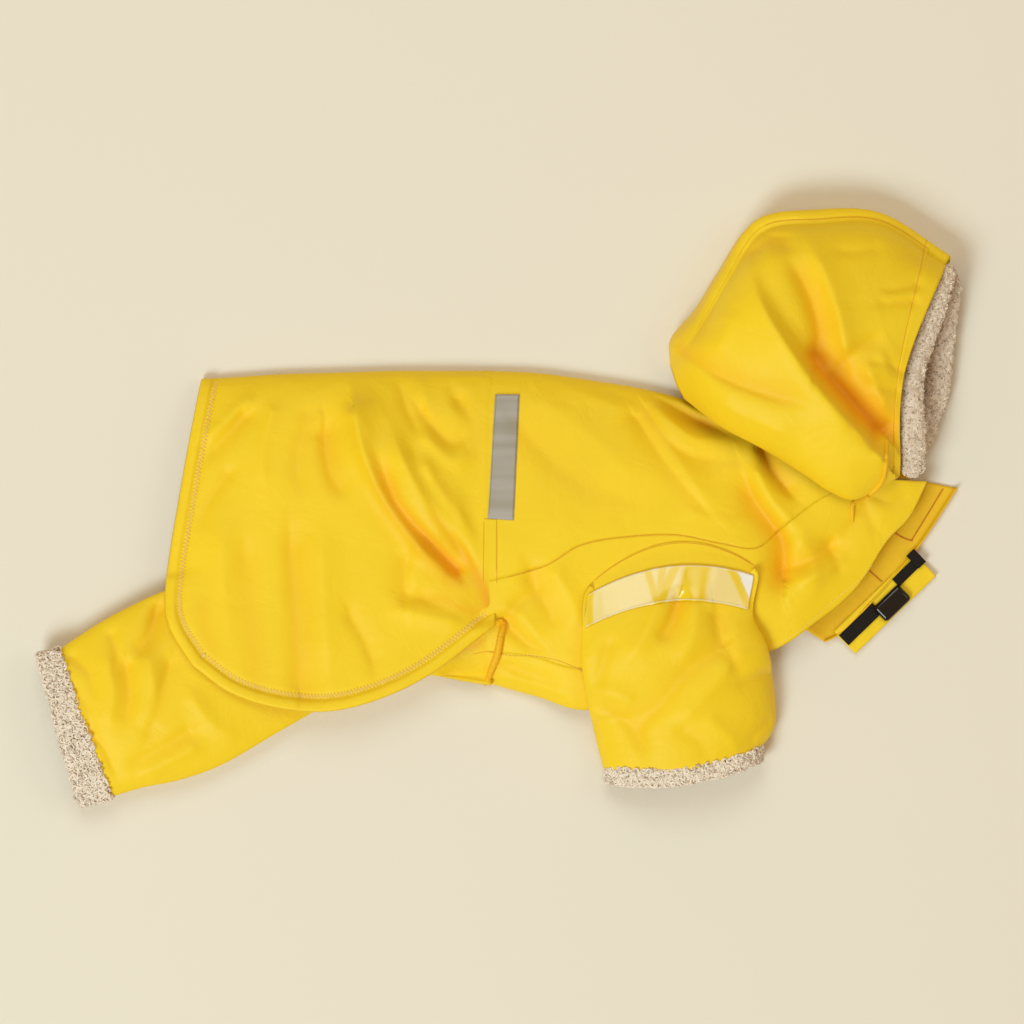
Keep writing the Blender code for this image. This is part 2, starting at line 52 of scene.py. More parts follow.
# A crease fades over this share of its run, and its crest is this sharp. A bowed limb's inner edge curves
# the other way, by this share.
CREASE_FADE = 0.28
CREST_POWER = 1.45
INNER_BOW = -1.2
#    spine       back_seam    belly_seam   belly_fold   crown
BODY = (
    ((-9, 86), (-10, -46), (-10, -88), (-12, -107), 29),
    ((20, 85), (27, -36), (20, -91), (24, -117), 29),
    ((45, 82), (52, -22), (45, -98), (53, -125), 29),
    ((65, 79), (81, -17), (84, -101), (90, -119), 29),
    ((84, 76), (110, -16), (122, -97), (128, -108), 29),
    ((98, 73), (136, -21), (167, -89), (171, -93), 29),
    ((110, 70), (160, -24), (196, -71), (210, -80), 28),
    ((120, 66), (178, -10), (222, -49), (231, -60), 27),
    ((132, 61), (196, 4), (241, -20), (254, -34), 26),
    ((146, 54), (214, 14), (255, -5), (268, -15), 25),
    ((160, 48), (228, 19), (266, 17), (286, 13), 24),
)
# Creases of the body: rise at the start and at the end, half width, lean to the left of its run, places.
BODY_CREASES = (
    (-6.0, -10.0, 7.0, -0.4, (150, 28), (157, 8), (168, -8), (176, -20), (177, -42)),
    (-8.0, -4.5, 5.5, 0.4, (163, 38), (170, 22), (186, 4)),
    (4.5, 3.0, 6.0, 0.0, (160, 22), (170, 4), (186, -12)),
    (-5.5, -3.5, 7.0, 0.25, (184, -36), (202, -26), (210, -14)),
    (3.5, 2.0, 6.0, 0.0, (190, -44), (204, -38), (216, -28)),
    (-3.5, -2.5, 5.0, 0.0, (206, -24), (213, -42)),
    (3.0, 2.5, 7.0, 0.0, (188, -20), (196, -34), (194, -54)),
    (-2.6, -1.2, 6.0, 0.0, (224, -2), (214, -18), (220, -34)),
    (-4.0, -2.2, 7.0, -0.35, (92, 62), (104, 43), (122, 32), (147, 30)),
    (3.0, 1.5, 7.0, 0.0, (100, 62), (118, 46), (142, 42)),
    (-9.0, -8.0, 5.5, 0.0, (80, 80), (95, 72), (110, 63), (126, 54), (146, 45)),
    (-2.8, -1.4, 5.0, -0.35, (86, 56), (104, 28), (124, 4), (141, -16)),
    (2.2, 1.2, 7.0, 0.0, (98, 50), (118, 20), (136, -6)),
    (-2.4, -1.2, 10.0, 0.2, (15, 48), (50, 16), (98, 0)),
    (1.8, 1.2, 11.0, 0.0, (30, 66), (64, 40), (86, 16)),
    (-2.8, -1.4, 4.5, 0.2, (48, 85), (68, 74), (92, 66)),
    (1.6, 1.0, 5.0, 0.0, (44, 76), (66, 67), (86, 60)),
    (-4.4, -1.8, 4.5, 0.2, (7, -74), (20, -85), (34, -88)),
    (-4.2, -2.0, 6.5, 0.25, (20, -42), (31, -64), (38, -78)),
    (2.8, 1.6, 6.5, 0.0, (36, -40), (46, -58), (48, -76)),
    (-4.4, -1.4, 5.0, 0.2, (3, -70), (14, -57), (30, -46)),
    (2.6, 1.2, 5.0, 0.0, (6, -62), (18, -70), (34, -96)),
    (-2.4, -1.0, 4.0, 0.0, (6, -98), (24, -104), (44, -110)),
    (1.6, 1.0, 4.0, 0.0, (8, -104), (26, -110), (46, -116)),
    (-1.8, -0.8, 4.0, 0.0, (232, 8), (244, 4), (256, 10)),
    (-1.8, -0.8, 4.0, 0.0, (226, 6), (232, -10), (240, -18)),
    (1.4, 1.0, 4.0, 0.0, (120, -2), (140, -8), (160, -6)),
)


def rows_at(values, s):
    """Smooth curve through rows of values, at s counted in rows."""
    values = np.asarray(values, float)
    last = len(values) - 1
    s = np.clip(np.asarray(s, float), 0, last)
    i = np.minimum(s.astype(int), last - 1)
    f = s - i
    if values.ndim == 2:
        f = f[..., None]
    padded = np.concatenate([[values[0] * 2 - values[1]], values, [values[-1] * 2 - values[-2]]])
    a, b, c, d = (padded[i + k] for k in range(4))
    return 0.5 * (2 * b + (c - a) * f + (2 * a - 5 * b + 4 * c - d) * f ** 2
                  + (3 * b - a - 3 * c + d) * f ** 3)


def ramp(x, start, end):
    """Smooth step from 0 at start to 1 at end."""
    t = np.clip((x - start) / (end - start), 0.0, 1.0)
    return t * t * (3 - 2 * t)


def nearest_on(x, y, line):
    """Distance from places to a line in plan, the share of its run, and the side: 1 left of it, -1 right."""
    line = np.asarray(line, float)
    spans = np.hypot(*np.diff(line, axis=0).T)
    best, at, side = np.full(x.shape, 1e9), np.zeros(x.shape), np.ones(x.shape)
    run = 0.0
    for (ax, ay), (bx, by), span in zip(line, line[1:], spans):
        ux, uy = (bx - ax) / span, (by - ay) / span
        along = np.clip((x - ax) * ux + (y - ay) * uy, 0, span)
        dx, dy = x - ax - ux * along, y - ay - uy * along
        distance = np.hypot(dx, dy)
        closer = distance < best
        at = np.where(closer, (run + along) / spans.sum(), at)
        side = np.where(closer, np.where(ux * dy - uy * dx >= 0, 1.0, -1.0), side)
        best = np.where(closer, distance, best)
        run += span
    return best, at, side


def creases(x, y, table):
    """Height that a table of ridges and troughs adds at places in plan, and how deep in a trough they are."""
    lift, deep = np.zeros(x.shape), np.zeros(x.shape)
    for rise_start, rise_end, half_width, lean, *places in table:
        line = rows_at(places, np.linspace(0, len(places) - 1, 5 * len(places) - 4))
        distance, at, side = nearest_on(x, y, line)
        rise = rise_start + (rise_end - rise_start) * at
        if abs(rise_start) <= abs(rise_end):
            rise *= 0.2 + 0.8 * ramp(at, 0.0, CREASE_FADE)
        if abs(rise_end) <= abs(rise_start):
            rise *= 0.2 + 0.8 * ramp(1 - at, 0.0, CREASE_FADE)
        added = rise * np.exp(-(distance / (half_width * (1 + lean * side))) ** CREST_POWER)
        lift += added
        deep += np.maximum(-added, 0) ** 2
    return lift, np.sqrt(deep)


class Lay:
    """Cloth lying on its side: a tube, or a sheet folded at one edge.

    A place is s, in rows of its table, and t: 0 on the fold edge, 1 on the next line, and so on, negative
    on the under layer.
    """

    def __init__(self, upper, under, crown, table=(), tube=True, edge=FOLD_EDGE, far=None, bow=None,
                 bow_side=1):
        self.lines = {1: [np.array(v, float) for v in upper], -1: [np.array(v, float) for v in under]}
        self.crown, self.table, self.tube, self.edge = np.array(crown, float), table, tube, edge
        self.far, self.bow, self.bow_side = far, bow, bow_side
        self.ground = lambda x, y: 0.0
        self.cover = None
        self.extra = None
        self.curved = False

    def plan(self, s, t):
        s, t = (v.astype(float) for v in np.broadcast_arrays(s, t))
        x, y, share, width = (np.zeros(s.shape) for _ in range(4))
        for sign, here in ((1, t >= 0), (-1, t < 0)):
            if not here.any():
                continue
            knots = np.stack([rows_at(line, s[here]) for line in self.lines[sign]])
            runs = np.linalg.norm(np.diff(knots, axis=0), axis=2)
            u = np.abs(t[here])
            k = np.minimum(u.astype(int), len(runs) - 1)
            f, n = u - k, np.arange(len(u))
            place = knots[k, n] + (knots[k + 1, n] - knots[k, n]) * f[:, None]
            if self.curved and sign > 0:
                wide = np.concatenate([knots[:1] * 2 - knots[1:2], knots, knots[-1:] * 2 - knots[-2:-1]])
                a, b, c, d = (wide[k + i, n] for i in range(4))
                v = f[:, None]
                place = 0.5 * (2 * b + (c - a) * v + (2 * a - 5 * b + 4 * c - d) * v ** 2
                               + (3 * b - a - 3 * c + d) * v ** 3)
            before = np.concatenate([np.zeros((1, len(u))), np.cumsum(runs, axis=0)])[k, n]
            x[here], y[here] = place.T
            share[here] = (before + runs[k, n] * f) / runs.sum(0)
            width[here] = runs.sum(0)
        if self.bow is not None:
            bow = rows_at(self.bow, s)
            outer = (t >= 0) == (self.bow_side > 0)
            y = y + bow * np.where(outer | (bow < 0), 1, INNER_BOW) * np.sin(np.pi * share) ** 0.8
        return x, y, share, width

    def grid(self, s, t, out=0.0):
        """Points over s and t, as (rows, columns, 3), and how deep in a trough each is."""
        s, t = np.meshgrid(s, t, indexing="ij")
        x, y, share, width = self.plan(s, t)
        ground = self.ground(x, y) + np.zeros(x.shape)
        inward = (np.minimum(share, 1 - share) if self.tube else share) * width
        k = 1 - np.minimum(inward / self.edge, 1.0)
        low = ground + self.edge * (1 - np.sqrt(np.maximum(1 - k * k, 0))) - out
        near = ground + self.edge
        far = near if self.far is None else rows_at(self.far, s)
        side = near + (far - near) * share
        swell = np.maximum(4 * share * (1 - share), 0) ** SWELL_POWER
        lift, deep = creases(x, y, self.table)
        fade = np.minimum(share / 0.1, 1.0) * (np.minimum((1 - share) / 0.04, 1.0) if self.tube else 1.0)
        high = side + (rows_at(self.crown, s) - side) * swell + lift * fade
        if self.cover is not None:
            over = self.cover(x, y)
            over = 0.5 * (high + over + np.sqrt((high - over) ** 2 + BLEND ** 2))
            high = np.where(share > 0.02, over, high)
        if self.extra is not None:
            high = self.extra(high, x, y, s, t)
        z = np.where(t < 0, low, high + out)
        deep = np.where(t < 0, 0.0, deep * fade)
        return np.stack([x, y, z], axis=-1), deep

    def top_tree(self, rows=60, columns=40):
        """The upper layer, for a plumb line."""
        points, _ = self.grid(np.linspace(0, len(self.crown) - 1, rows),
                              np.linspace(0, len(self.lines[1]) - 1, columns))
        i, j = np.meshgrid(np.arange(rows - 1), np.arange(columns - 1), indexing="ij")
        a = i * columns + j
        faces = np.stack([a, a + 1, a + columns + 1, a + columns], axis=-1).reshape(-1, 4)
        return BVHTree.FromPolygons([tuple(p) for p in points.reshape(-1, 3)], faces.tolist())


def resting_on(*trees, clear=LAYER_GAP, reach=3.0, soft=3):
    """The height just clear of the highest of these layers at, or close to, places in plan."""
    down = Vector((0, 0, -1))
    steps = [(0, 0), (reach, 0), (-reach, 0), (0, reach), (0, -reach)]

    def height(x, y):
        found = np.zeros(x.shape)
        for n, (px, py) in enumerate(zip(x.ravel(), y.ravel())):
            best = 0.0
            for dx, dy in steps:
                start = Vector((px + dx, py + dy, 300))
                for tree in trees:
                    hit = tree.ray_cast(start, down)[0]
                    if hit and hit.z + clear > best:
                        best = hit.z + clear
            found.flat[n] = best
        return soften(found, soft)
    return height


def soften(values, times=3):
    """Values over a grid, averaged with their neighbours."""
    if values.ndim < 2 or min(values.shape) < 3:
        return values
    for _ in range(times):
        wide = np.pad(values, 1, mode="edge")
        values = (wide[:-2, 1:-1] + wide[2:, 1:-1] + wide[1:-1, :-2] + wide[1:-1, 2:] + 2 * values) / 6
    return values


def spread(start, end, count, dense_start=False, dense_end=False):
    """Steps from start to end, closer together at an end that is a fold."""
    f = np.linspace(0, 1, count + 1)
    if dense_start and dense_end:
        f = (1 - np.cos(np.pi * f)) / 2
    elif dense_start:
        f = 1 - np.cos(np.pi * f / 2)
    elif dense_end:
        f = np.sin(np.pi * f / 2)
    return start + (end - start) * f


def join_steps(*runs):
    """Runs of steps end to end, their shared ends once."""
    return np.concatenate([runs[0]] + [run[1:] for run in runs[1:]])


def shell(name, points, deep, material, wall=NYLON_WALL, closed=False, hole=None):
    """A thin shell of cloth on a grid of points in millimetres, its wall inwards."""
    rows, columns = points.shape[:2]
    i, j = np.meshgrid(np.arange(rows - 1), np.arange(columns if closed else columns - 1), indexing="ij")
    k = (j + 1) % columns
    here, after = i * columns, (i + 1) * columns
    faces = np.stack([here + j, here + k, after + k, after + j], axis=-1).reshape(-1, 4)
    if hole is not None:
        faces = faces[~hole[:-1, :-1].reshape(-1)]
    used, faces = np.unique(faces, return_inverse=True)
    faces = faces.reshape(-1, 4)
    mesh = bpy.data.meshes.new(name)
    mesh.from_pydata((points.reshape(-1, 3)[used] * MM).tolist(), [], faces.tolist())
    mesh.shade_smooth()
    # This attribute holds a trough's depth on the nylon and the patch mask on the vinyl film: their materials
    # paint shade and light from it.
    attribute = mesh.attributes.new("painted_light_mask", "FLOAT", "POINT")
    attribute.data.foreach_set("value", deep.reshape(-1)[used].astype(np.float32))
    piece = bpy.data.objects.new(name, mesh)
    bpy.context.scene.collection.objects.link(piece)
    mesh.materials.append(material)
    if wall:
        solid = piece.modifiers.new("wall", "SOLIDIFY")
        solid.thickness = wall * MM
        solid.offset = -1.0
    return piece


def node(tree, kind, place=(0, 0), **values):
    """A shader node with its values set: inputs by name, anything else as a property."""
    made = tree.nodes.new(kind)
    made.location = place
    for key, value in values.items():
        if key in made.inputs:
            made.inputs[key].default_value = value
        else:
            setattr(made, key, value)
    return made


def group(name, inputs, outputs):
    """An empty node group with named inputs and outputs."""
    tree = bpy.data.node_groups.new(name, "ShaderNodeTree")
    for label, kind, value in inputs:
        socket = tree.interface.new_socket(label, in_out="INPUT", socket_type=kind)
        socket.default_value = value
    for label, kind in outputs:
        tree.interface.new_socket(label, in_out="OUTPUT", socket_type=kind)
    return tree, tree.nodes.new("NodeGroupInput"), tree.nodes.new("NodeGroupOutput")


def nylon_group():
    """Coated nylon: colour with painted orange shade in the fold troughs by their depth, roughness, and the
    crumple and weave as a normal.
    """
    tree, ins, outs = group(
        "coated_nylon",
        [("Colour", "NodeSocketColor", NYLON_YELLOW), ("Fold shade colour", "NodeSocketColor", FOLD_SHADE_ORANGE),
         ("Fold shade reach", "NodeSocketFloat", 14.0), ("Roughness", "NodeSocketFloat", 0.42),
         ("Crumple", "NodeSocketFloat", 0.35), ("Weave", "NodeSocketFloat", 0.12)],
        [("Colour", "NodeSocketColor"), ("Roughness", "NodeSocketFloat"), ("Normal", "NodeSocketVector")])
    link = tree.links.new
    where = node(tree, "ShaderNodeTexCoord")
    depth = node(tree, "ShaderNodeAttribute", attribute_name="painted_light_mask")
    share = node(tree, "ShaderNodeMath", operation="DIVIDE", use_clamp=True)
    link(depth.outputs["Fac"], share.inputs[0])
    link(ins.outputs["Fold shade reach"], share.inputs[1])
    power = node(tree, "ShaderNodeMath", operation="POWER")
    link(share.outputs[0], power.inputs[0])
    power.inputs[1].default_value = 1.3
    # Mix towards the fold orange by trough depth: painted shade.
    fold_shade_mix = node(tree, "ShaderNodeMix", data_type="RGBA")
    link(power.outputs[0], fold_shade_mix.inputs["Factor"])
    link(ins.outputs["Colour"], fold_shade_mix.inputs["A"])
    link(ins.outputs["Fold shade colour"], fold_shade_mix.inputs["B"])
    cloudy = node(tree, "ShaderNodeTexNoise", Scale=26.0, Detail=3.0)
    link(where.outputs["Object"], cloudy.inputs["Vector"])
    shade = node(tree, "ShaderNodeMapRange")
    shade.inputs["To Min"].default_value, shade.inputs["To Max"].default_value = 0.94, 1.04
    link(cloudy.outputs["Fac"], shade.inputs["Value"])
    toned = node(tree, "ShaderNodeMix", data_type="RGBA", blend_type="MULTIPLY")
    toned.inputs["Factor"].default_value = 1.0
    link(fold_shade_mix.outputs["Result"], toned.inputs["A"])
    link(shade.outputs["Result"], toned.inputs["B"])
    link(toned.outputs["Result"], outs.inputs["Colour"])
    rough = node(tree, "ShaderNodeMath", operation="MULTIPLY_ADD")
    link(cloudy.outputs["Fac"], rough.inputs[0])
    rough.inputs[1].default_value = 0.12
    link(ins.outputs["Roughness"], rough.inputs[2])
    link(rough.outputs[0], outs.inputs["Roughness"])
    crumple = node(tree, "ShaderNodeTexNoise", Scale=42.0, Detail=4.0, Roughness=0.55, Distortion=1.2)
    link(where.outputs["Object"], crumple.inputs["Vector"])
    first = node(tree, "ShaderNodeBump", Distance=0.003)
    link(ins.outputs["Crumple"], first.inputs["Strength"])
    link(crumple.outputs["Fac"], first.inputs["Height"])
    weft, warp = (node(tree, "ShaderNodeTexWave", wave_type="BANDS", bands_direction=way, Scale=700.0,
                       Distortion=0.3) for way in "XY")
    for wave in (weft, warp):
        link(where.outputs["Object"], wave.inputs["Vector"])
    both = node(tree, "ShaderNodeMath", operation="MULTIPLY")
    link(weft.outputs["Fac"], both.inputs[0])
    link(warp.outputs["Fac"], both.inputs[1])
    second = node(tree, "ShaderNodeBump", Distance=0.0002)
    link(ins.outputs["Weave"], second.inputs["Strength"])
    link(both.outputs[0], second.inputs["Height"])
    link(first.outputs["Normal"], second.inputs["Normal"])
    link(second.outputs["Normal"], outs.inputs["Normal"])
    return tree


COATED_NYLON = nylon_group()


def nylon(name, colour=NYLON_YELLOW, roughness=0.46, crumple=0.28, reach=13.0):
    """A coated nylon material of the piece's own."""
    material = bpy.data.materials.new(name)
    material.use_nodes = True
    tree = material.node_tree
    shader = tree.nodes["Principled BSDF"]
    shader.inputs["Sheen Weight"].default_value = 0.02
    shader.inputs["Sheen Roughness"].default_value = 0.5
    shader.inputs["Specular IOR Level"].default_value = 0.28
    look = node(tree, "ShaderNodeGroup", (-300, 0), node_tree=COATED_NYLON)
    look.inputs["Colour"].default_value = colour
    look.inputs["Roughness"].default_value = roughness
    look.inputs["Crumple"].default_value = crumple
    look.inputs["Fold shade reach"].default_value = reach
    tree.links.new(look.outputs["Colour"], shader.inputs["Base Color"])
    tree.links.new(look.outputs["Roughness"], shader.inputs["Roughness"])
    tree.links.new(look.outputs["Normal"], shader.inputs["Normal"])
    return material


def columns_of(table, *places):
    """Columns of a table of sections."""
    return [np.array([row[k] for row in table], float) for k in places]


spine, back_seam, belly_seam, belly_fold, crowns = columns_of(BODY, 0, 1, 2, 3, 4)
body = Lay([spine, back_seam, belly_seam, belly_fold], [spine, back_seam, belly_seam, belly_fold], crowns,
           BODY_CREASES)
body.ground = lambda x, y: (FLAT_LIMB + LAYER_GAP) * (
    ramp(x, 20, 46) * (1 - ramp(x, 182, 206)) * ramp(-y, -20, 14))
body_rows = np.linspace(0, 10, 161)
back_columns = join_steps(spread(-1, 0, 14, False, True), spread(0, 1, 66, True))
back_panel = shell("back_panel_cloth", *body.grid(body_rows, back_columns), nylon("back_panel_nylon"))
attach(back_panel, "root")
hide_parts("back_panel")

# Side panels: one on each side, sewn to the back panel, with an armhole each. The right one ends at the
# front in the overlap's free edge, turned in and topstitched.
side_columns = join_steps(spread(1, 1.10, 5), spread(1.10, 1.66, 22), spread(1.66, 2, 16))
side_points, side_deep = body.grid(body_rows, side_columns)
side_x, side_y = side_points[..., 0], side_points[..., 1]
armhole = (side_x > 78) & (side_x < 138) & (side_y < -33) & (side_y > -60)
side_right = shell("side_right_cloth", side_points, side_deep, nylon("side_right_nylon"), hole=armhole)
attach(side_right, "root")
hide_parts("side_right")
left_rows = np.linspace(0, 10, 71)
left_columns = np.linspace(-2, -1, 15)
along_armhole = (left_rows >= 2.5) & (left_rows <= 4.8)
across_armhole = (left_columns >= -1.64) & (left_columns <= -1.12)
armhole = along_armhole[:, None] & across_armhole[None, :]
side_left = shell("side_left_cloth", *body.grid(left_rows, left_columns), nylon("side_left_nylon"),
                  hole=armhole)
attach(side_left, "root")
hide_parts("side_left")

# Belly panel, folded over the belly, and the underlap that edges the left front under the overlap.
belly_rows = body_rows[body_rows <= 4.96]
belly_columns = join_steps(spread(2, 3, 18, False, True), spread(3, 3, 1))[:-1]
belly_columns = np.concatenate([belly_columns[:-1], [3 - 1e-6], spread(-3, -2, 10, True)[1:]])
belly = shell("belly_panel_cloth", *body.grid(belly_rows, belly_columns), nylon("belly_panel_nylon"))
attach(belly, "root")
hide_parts("belly_panel")
underlap_rows = np.linspace(5.8, 10, 70)
# The underlap's cloth is a deeper orange: painted shade under the overlap.
underlap = shell("underlap_cloth", *body.grid(underlap_rows, spread(-3, -2, 14, True)),
                 nylon("underlap_shaded_nylon", (0.900, 0.540, 0.012, 1.0)))
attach(underlap, "root")
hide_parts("underlap")
body_tree = body.top_tree(120, 90)

# Right and left trouser legs: nylon tubes that come from under the cape.
HEM_WALL = 2.4
CAPE_ROOM = HEM_WALL + LAYER_GAP
LEG_BASE = CAPE_ROOM + FLAT_LIMB + LAYER_GAP
#    upper_edge   lower_edge   bow  crown
LEG = (
    ((-274, -88), (-241, -179), 0, 27),
    ((-250, -72), (-221, -173), 0, 28),
    ((-228, -60), (-197, -168), 0, 28),
    ((-205, -50), (-170, -158), 0, 26),
    ((-165, -38), (-134, -137), 0, 23),
    ((-115, -34), (-97, -117), 0, 21),
    ((-60, -40), (-58, -103), 0, 20),
    ((-2.6, -56), (-4.5, -108.8), 0, 20),
)
LEG_CREASES = (
    (-4.5, -7.5, 3.4, 0.3, (-44, -95), (-28, -89), (-12, -84)),
    (3.0, 2.0, 4.0, 0.0, (-54, -103), (-38, -98), (-20, -92)),
    (-3.2, -2.0, 3.5, 0.0, (-32, -102), (-20, -98), (-8, -94)),
    (-6.0, -3.0, 6.5, 0.3, (-212, -60), (-216, -78), (-228, -94)),
    (-4.5, -2.6, 6.5, -0.3, (-230, -98), (-228, -118), (-233, -136)),
    (3.6, 2.0, 7.0, 0.0, (-240, -96), (-238, -116), (-242, -136)),
    (3.4, 2.4, 8.0, 0.0, (-216, -94), (-212, -116), (-218, -138)),
    (-3.2, -1.6, 6.0, 0.2, (-204, -96), (-210, -120), (-221, -152)),
    (-3.2, -1.4, 5.0, 0.25, (-192, -138), (-212, -150), (-234, -161)),
    (2.4, 1.4, 5.0, 0.0, (-190, -148), (-208, -158), (-226, -166)),
    (-2.6, -1.4, 4.0, 0.2, (-252, -138), (-243, -150), (-236, -168)),
    (-2.4, -1.2, 4.0, 0.2, (-264, -92), (-253, -102), (-250, -120)),
    (-2.2, -1.2, 4.0, 0.0, (-240, -78), (-236, -92), (-241, -106)),
    (2.4, 1.4, 6.0, 0.0, (-188, -118), (-176, -134), (-158, -143)),
    (-2.0, -1.2, 4.0, 0.0, (-262, -112), (-254, -124), (-252, -140)),
)


def inset(table, step):
    """A limb's table with its two edges drawn in towards each other."""
    rows = []
    for a, b, *rest in table:
        a, b = Vector(a), Vector(b)
        draw = (b - a).normalized() * step
        rows.append((tuple(a + draw), tuple(b - draw), *rest))
    return rows


def limb(table, folds=(), edge=FOLD_EDGE, step=0.0, flat=None, bow_side=1):
    """The lay of a sleeve, leg or cuff; flat gives a flattened one its height."""
    edge_a, edge_b, bow, crown = columns_of(inset(table, step), 0, 1, 2, 3)
    if flat:
        crown = np.full(len(crown), float(flat))
    return Lay([edge_a, edge_b], [edge_a, edge_b], crown, folds, edge=edge, bow=bow, bow_side=bow_side)


def ring(upper, under):
    """Steps round a tube, from one folded edge over the upper layer and back under."""
    steps = np.concatenate([spread(0, 1, upper, True, True), spread(-1, 0, under, True, True)[1:-1]])
    steps[upper] = 1 - 1e-6
    return steps


left_leg = limb(LEG, step=3.0, flat=CAPE_ROOM + FLAT_LIMB, edge=3.4)
left_leg.ground = lambda x, y: CAPE_ROOM
leg_left = shell("leg_left_cloth", *left_leg.grid(np.linspace(0, 7, 50), ring(22, 20)),
                 nylon("leg_left_nylon"), closed=True)
right_leg = limb(LEG, LEG_CREASES)
right_leg.ground = lambda x, y: LEG_BASE
body_height = resting_on(body_tree, clear=0.0, reach=0.5)


def flush_with_belly(z, x, y, s, t):
    """The leg comes down to the body at the waist, where the gathered seam joins them."""
    share = ramp(s, 6.1, 6.85) * (t >= 0)
    return z * (1 - share) + (body_height(np.maximum(x, -8.5), y) + 0.3 - 0.7 * ramp(s, 6.85, 7.0)) * share


right_leg.extra = flush_with_belly
leg_right = shell("leg_right_cloth", *right_leg.grid(np.linspace(0, 7, 150), ring(70, 26)),
                  nylon("leg_right_nylon"), closed=True)
for piece, stands_for, under in ((leg_left, "leg_left", "cape"), (leg_right, "leg_right", "leg_left")):
    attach(piece, "root")
    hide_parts(stands_for)

# Cape: the rear flap, one piece folded over the spine, its edge turned over a soft filler and held by a
# zigzag coverstitch all round.
HEM_WIDE, HEM_PUFF = 7.2, 1.7
#    spine       upper_back  upper_side   upper_low    upper_hem    under_hem    crown hem_rise
CAPE = (
    ((-185, 81), (-196, 20), (-206, -43), (-204, -72), (-189, -97), (-180, -86), 18, 24),
    ((-165, 82), (-172, 15), (-177, -50), (-175, -84), (-165, -114), (-160, -104), 24, 28),
    ((-135, 84), (-137, 15), (-138, -55), (-137, -90), (-136, -123), (-133, -112), 27, 31),
    ((-100, 85), (-101, 15), (-102, -55), (-103, -91), (-104, -125), (-103, -112), 29, 32),
    ((-68, 86), (-69, 12), (-70, -54), (-71, -86), (-72, -117), (-72, -106), 30, 31),
    ((-38, 86), (-38, 14), (-39, -48), (-40, -75), (-40, -101), (-41, -92), 30, 29),
    ((-3.4, 86), (-3.6, 20), (-3.6, -30), (-3.0, -50), (-1.5, -71.5), (-11, -62), 29, 26),
)
CAPE_CREASES = (
    (12.0, 8.0, 9.0, 0.4, (-89, 58), (-83, 34), (-70, 6), (-50, -22), (-34, -40)),
    (-5.5, -3.0, 8.0, 0.35, (-108, 46), (-104, 22), (-92, 4)),
    (-6.0, -12.0, 8.0, -0.35, (-80, 42), (-70, 20), (-62, 2), (-47, -16), (-26, -38)),
    (8.0, 8.0, 8.0, -0.2, (-68, 54), (-56, 24), (-41, -2), (-20, -30)),
    (-3.0, -11.0, 5.0, -0.35, (-50, 12), (-34, -11), (-20, -29), (-10, -46), (-6, -59)),
    (5.5, 4.5, 6.0, 0.0, (-44, 26), (-24, -4), (-12, -24), (-6, -40)),
    (5.0, 4.0, 6.0, 0.0, (-48, -24), (-30, -41), (-16, -56)),
    (-3.5, -6.5, 5.0, 0.25, (-60, -52), (-36, -57), (-16, -64)),
    (3.4, 2.6, 6.0, 0.0, (-60, -62), (-38, -68), (-18, -71)),
    (-3.6, -3.0, 6.0, 0.35, (-57, -54), (-58, -40), (-55, -25)),
    (-4.2, -4.6, 8.0, 0.3, (-130, 2), (-127, -50), (-124, -108)),
    (3.4, 3.4, 10.0, 0.0, (-110, -2), (-108, -60), (-104, -108)),
    (-3.0, -3.2, 8.0, 0.2, (-158, -10), (-155, -60), (-151, -100)),
    (2.6, 2.6, 8.0, 0.0, (-171, -2), (-170, -50), (-165, -92)),
    (-3.0, -2.8, 5.5, 0.2, (-184, -60), (-181, -78), (-172, -96)),
    (-4.0, -2.0, 5.0, 0.3, (-158, 58), (-174, 40), (-184, 28)),
    (3.0, 2.0, 5.0, 0.0, (-156, 68), (-172, 52), (-188, 42)),
    (-2.6, -1.4, 5.0, 0.2, (-168, 22), (-180, 4), (-188, -16)),
    (-3.8, -2.8, 5.5, 0.25, (-48, 60), (-30, 41), (-12, 50)),
    (3.2, 2.4, 6.0, 0.0, (-44, 44), (-28, 30), (-12, 36)),
    (-3.2, -1.8, 4.5, 0.2, (-24, 68), (-13, 48), (-11, 28)),
    (-3.4, -1.8, 5.0, 0.25, (-62, 80), (-56, 60), (-47, 42)),
    (2.4, 1.4, 5.0, 0.0, (-48, 80), (-44, 64), (-37, 50)),
    (-2.4, -2.0, 7.0, 0.2, (-118, 58), (-125, 30), (-120, 4)),
    (-2.6, -1.8, 5.0, 0.25, (-92, -66), (-80, -88), (-75, -108)),
    (2.0, 1.4, 5.0, 0.0, (-140, 60), (-146, 34), (-144, 10)),
    (-1.8, -1.4, 3.5, 0.2, (-38, 18), (-30, 6), (-24, -8)),
    (-1.8, -1.2, 3.5, 0.2, (-30, 76), (-27, 68), (-22, 58)),
)
cape_spine, upper_back, upper_side, upper_low, upper_hem, under_hem, crowns, hem_rise = columns_of(
    CAPE, 0, 1, 2, 3, 4, 5, 6, 7)
cape = Lay([cape_spine, upper_back, upper_side, upper_low, upper_hem], [cape_spine, under_hem], crowns,
           CAPE_CREASES, tube=False, far=hem_rise)
cape.curved = True
cape.cover = resting_on(right_leg.top_tree(80, 40), clear=HEM_WALL + LAYER_GAP, reach=12.0, soft=14)
HEM_LINE = np.concatenate([
    np.stack(cape.plan(np.zeros(40), np.linspace(0, 4, 40))[:2], axis=-1),
    np.stack(cape.plan(np.linspace(0, 6, 70)[1:], np.full(69, 4.0))[:2], axis=-1)])


def puffed_hem(z, x, y, s, t):
    """The cape's turned edge stands up as a soft roll, with the stitched band sunk beside it."""
    distance, _, _ = nearest_on(x, y, HEM_LINE)
    roll = np.sqrt(np.maximum(1 - ((distance - HEM_WIDE / 2) / (HEM_WIDE / 2)) ** 2, 0))
    band = np.exp(-((distance - HEM_WIDE - 2.3) / 2.4) ** 2)
    return z + HEM_PUFF * roll - 0.7 * band - 0.5 * (distance < 0.4)


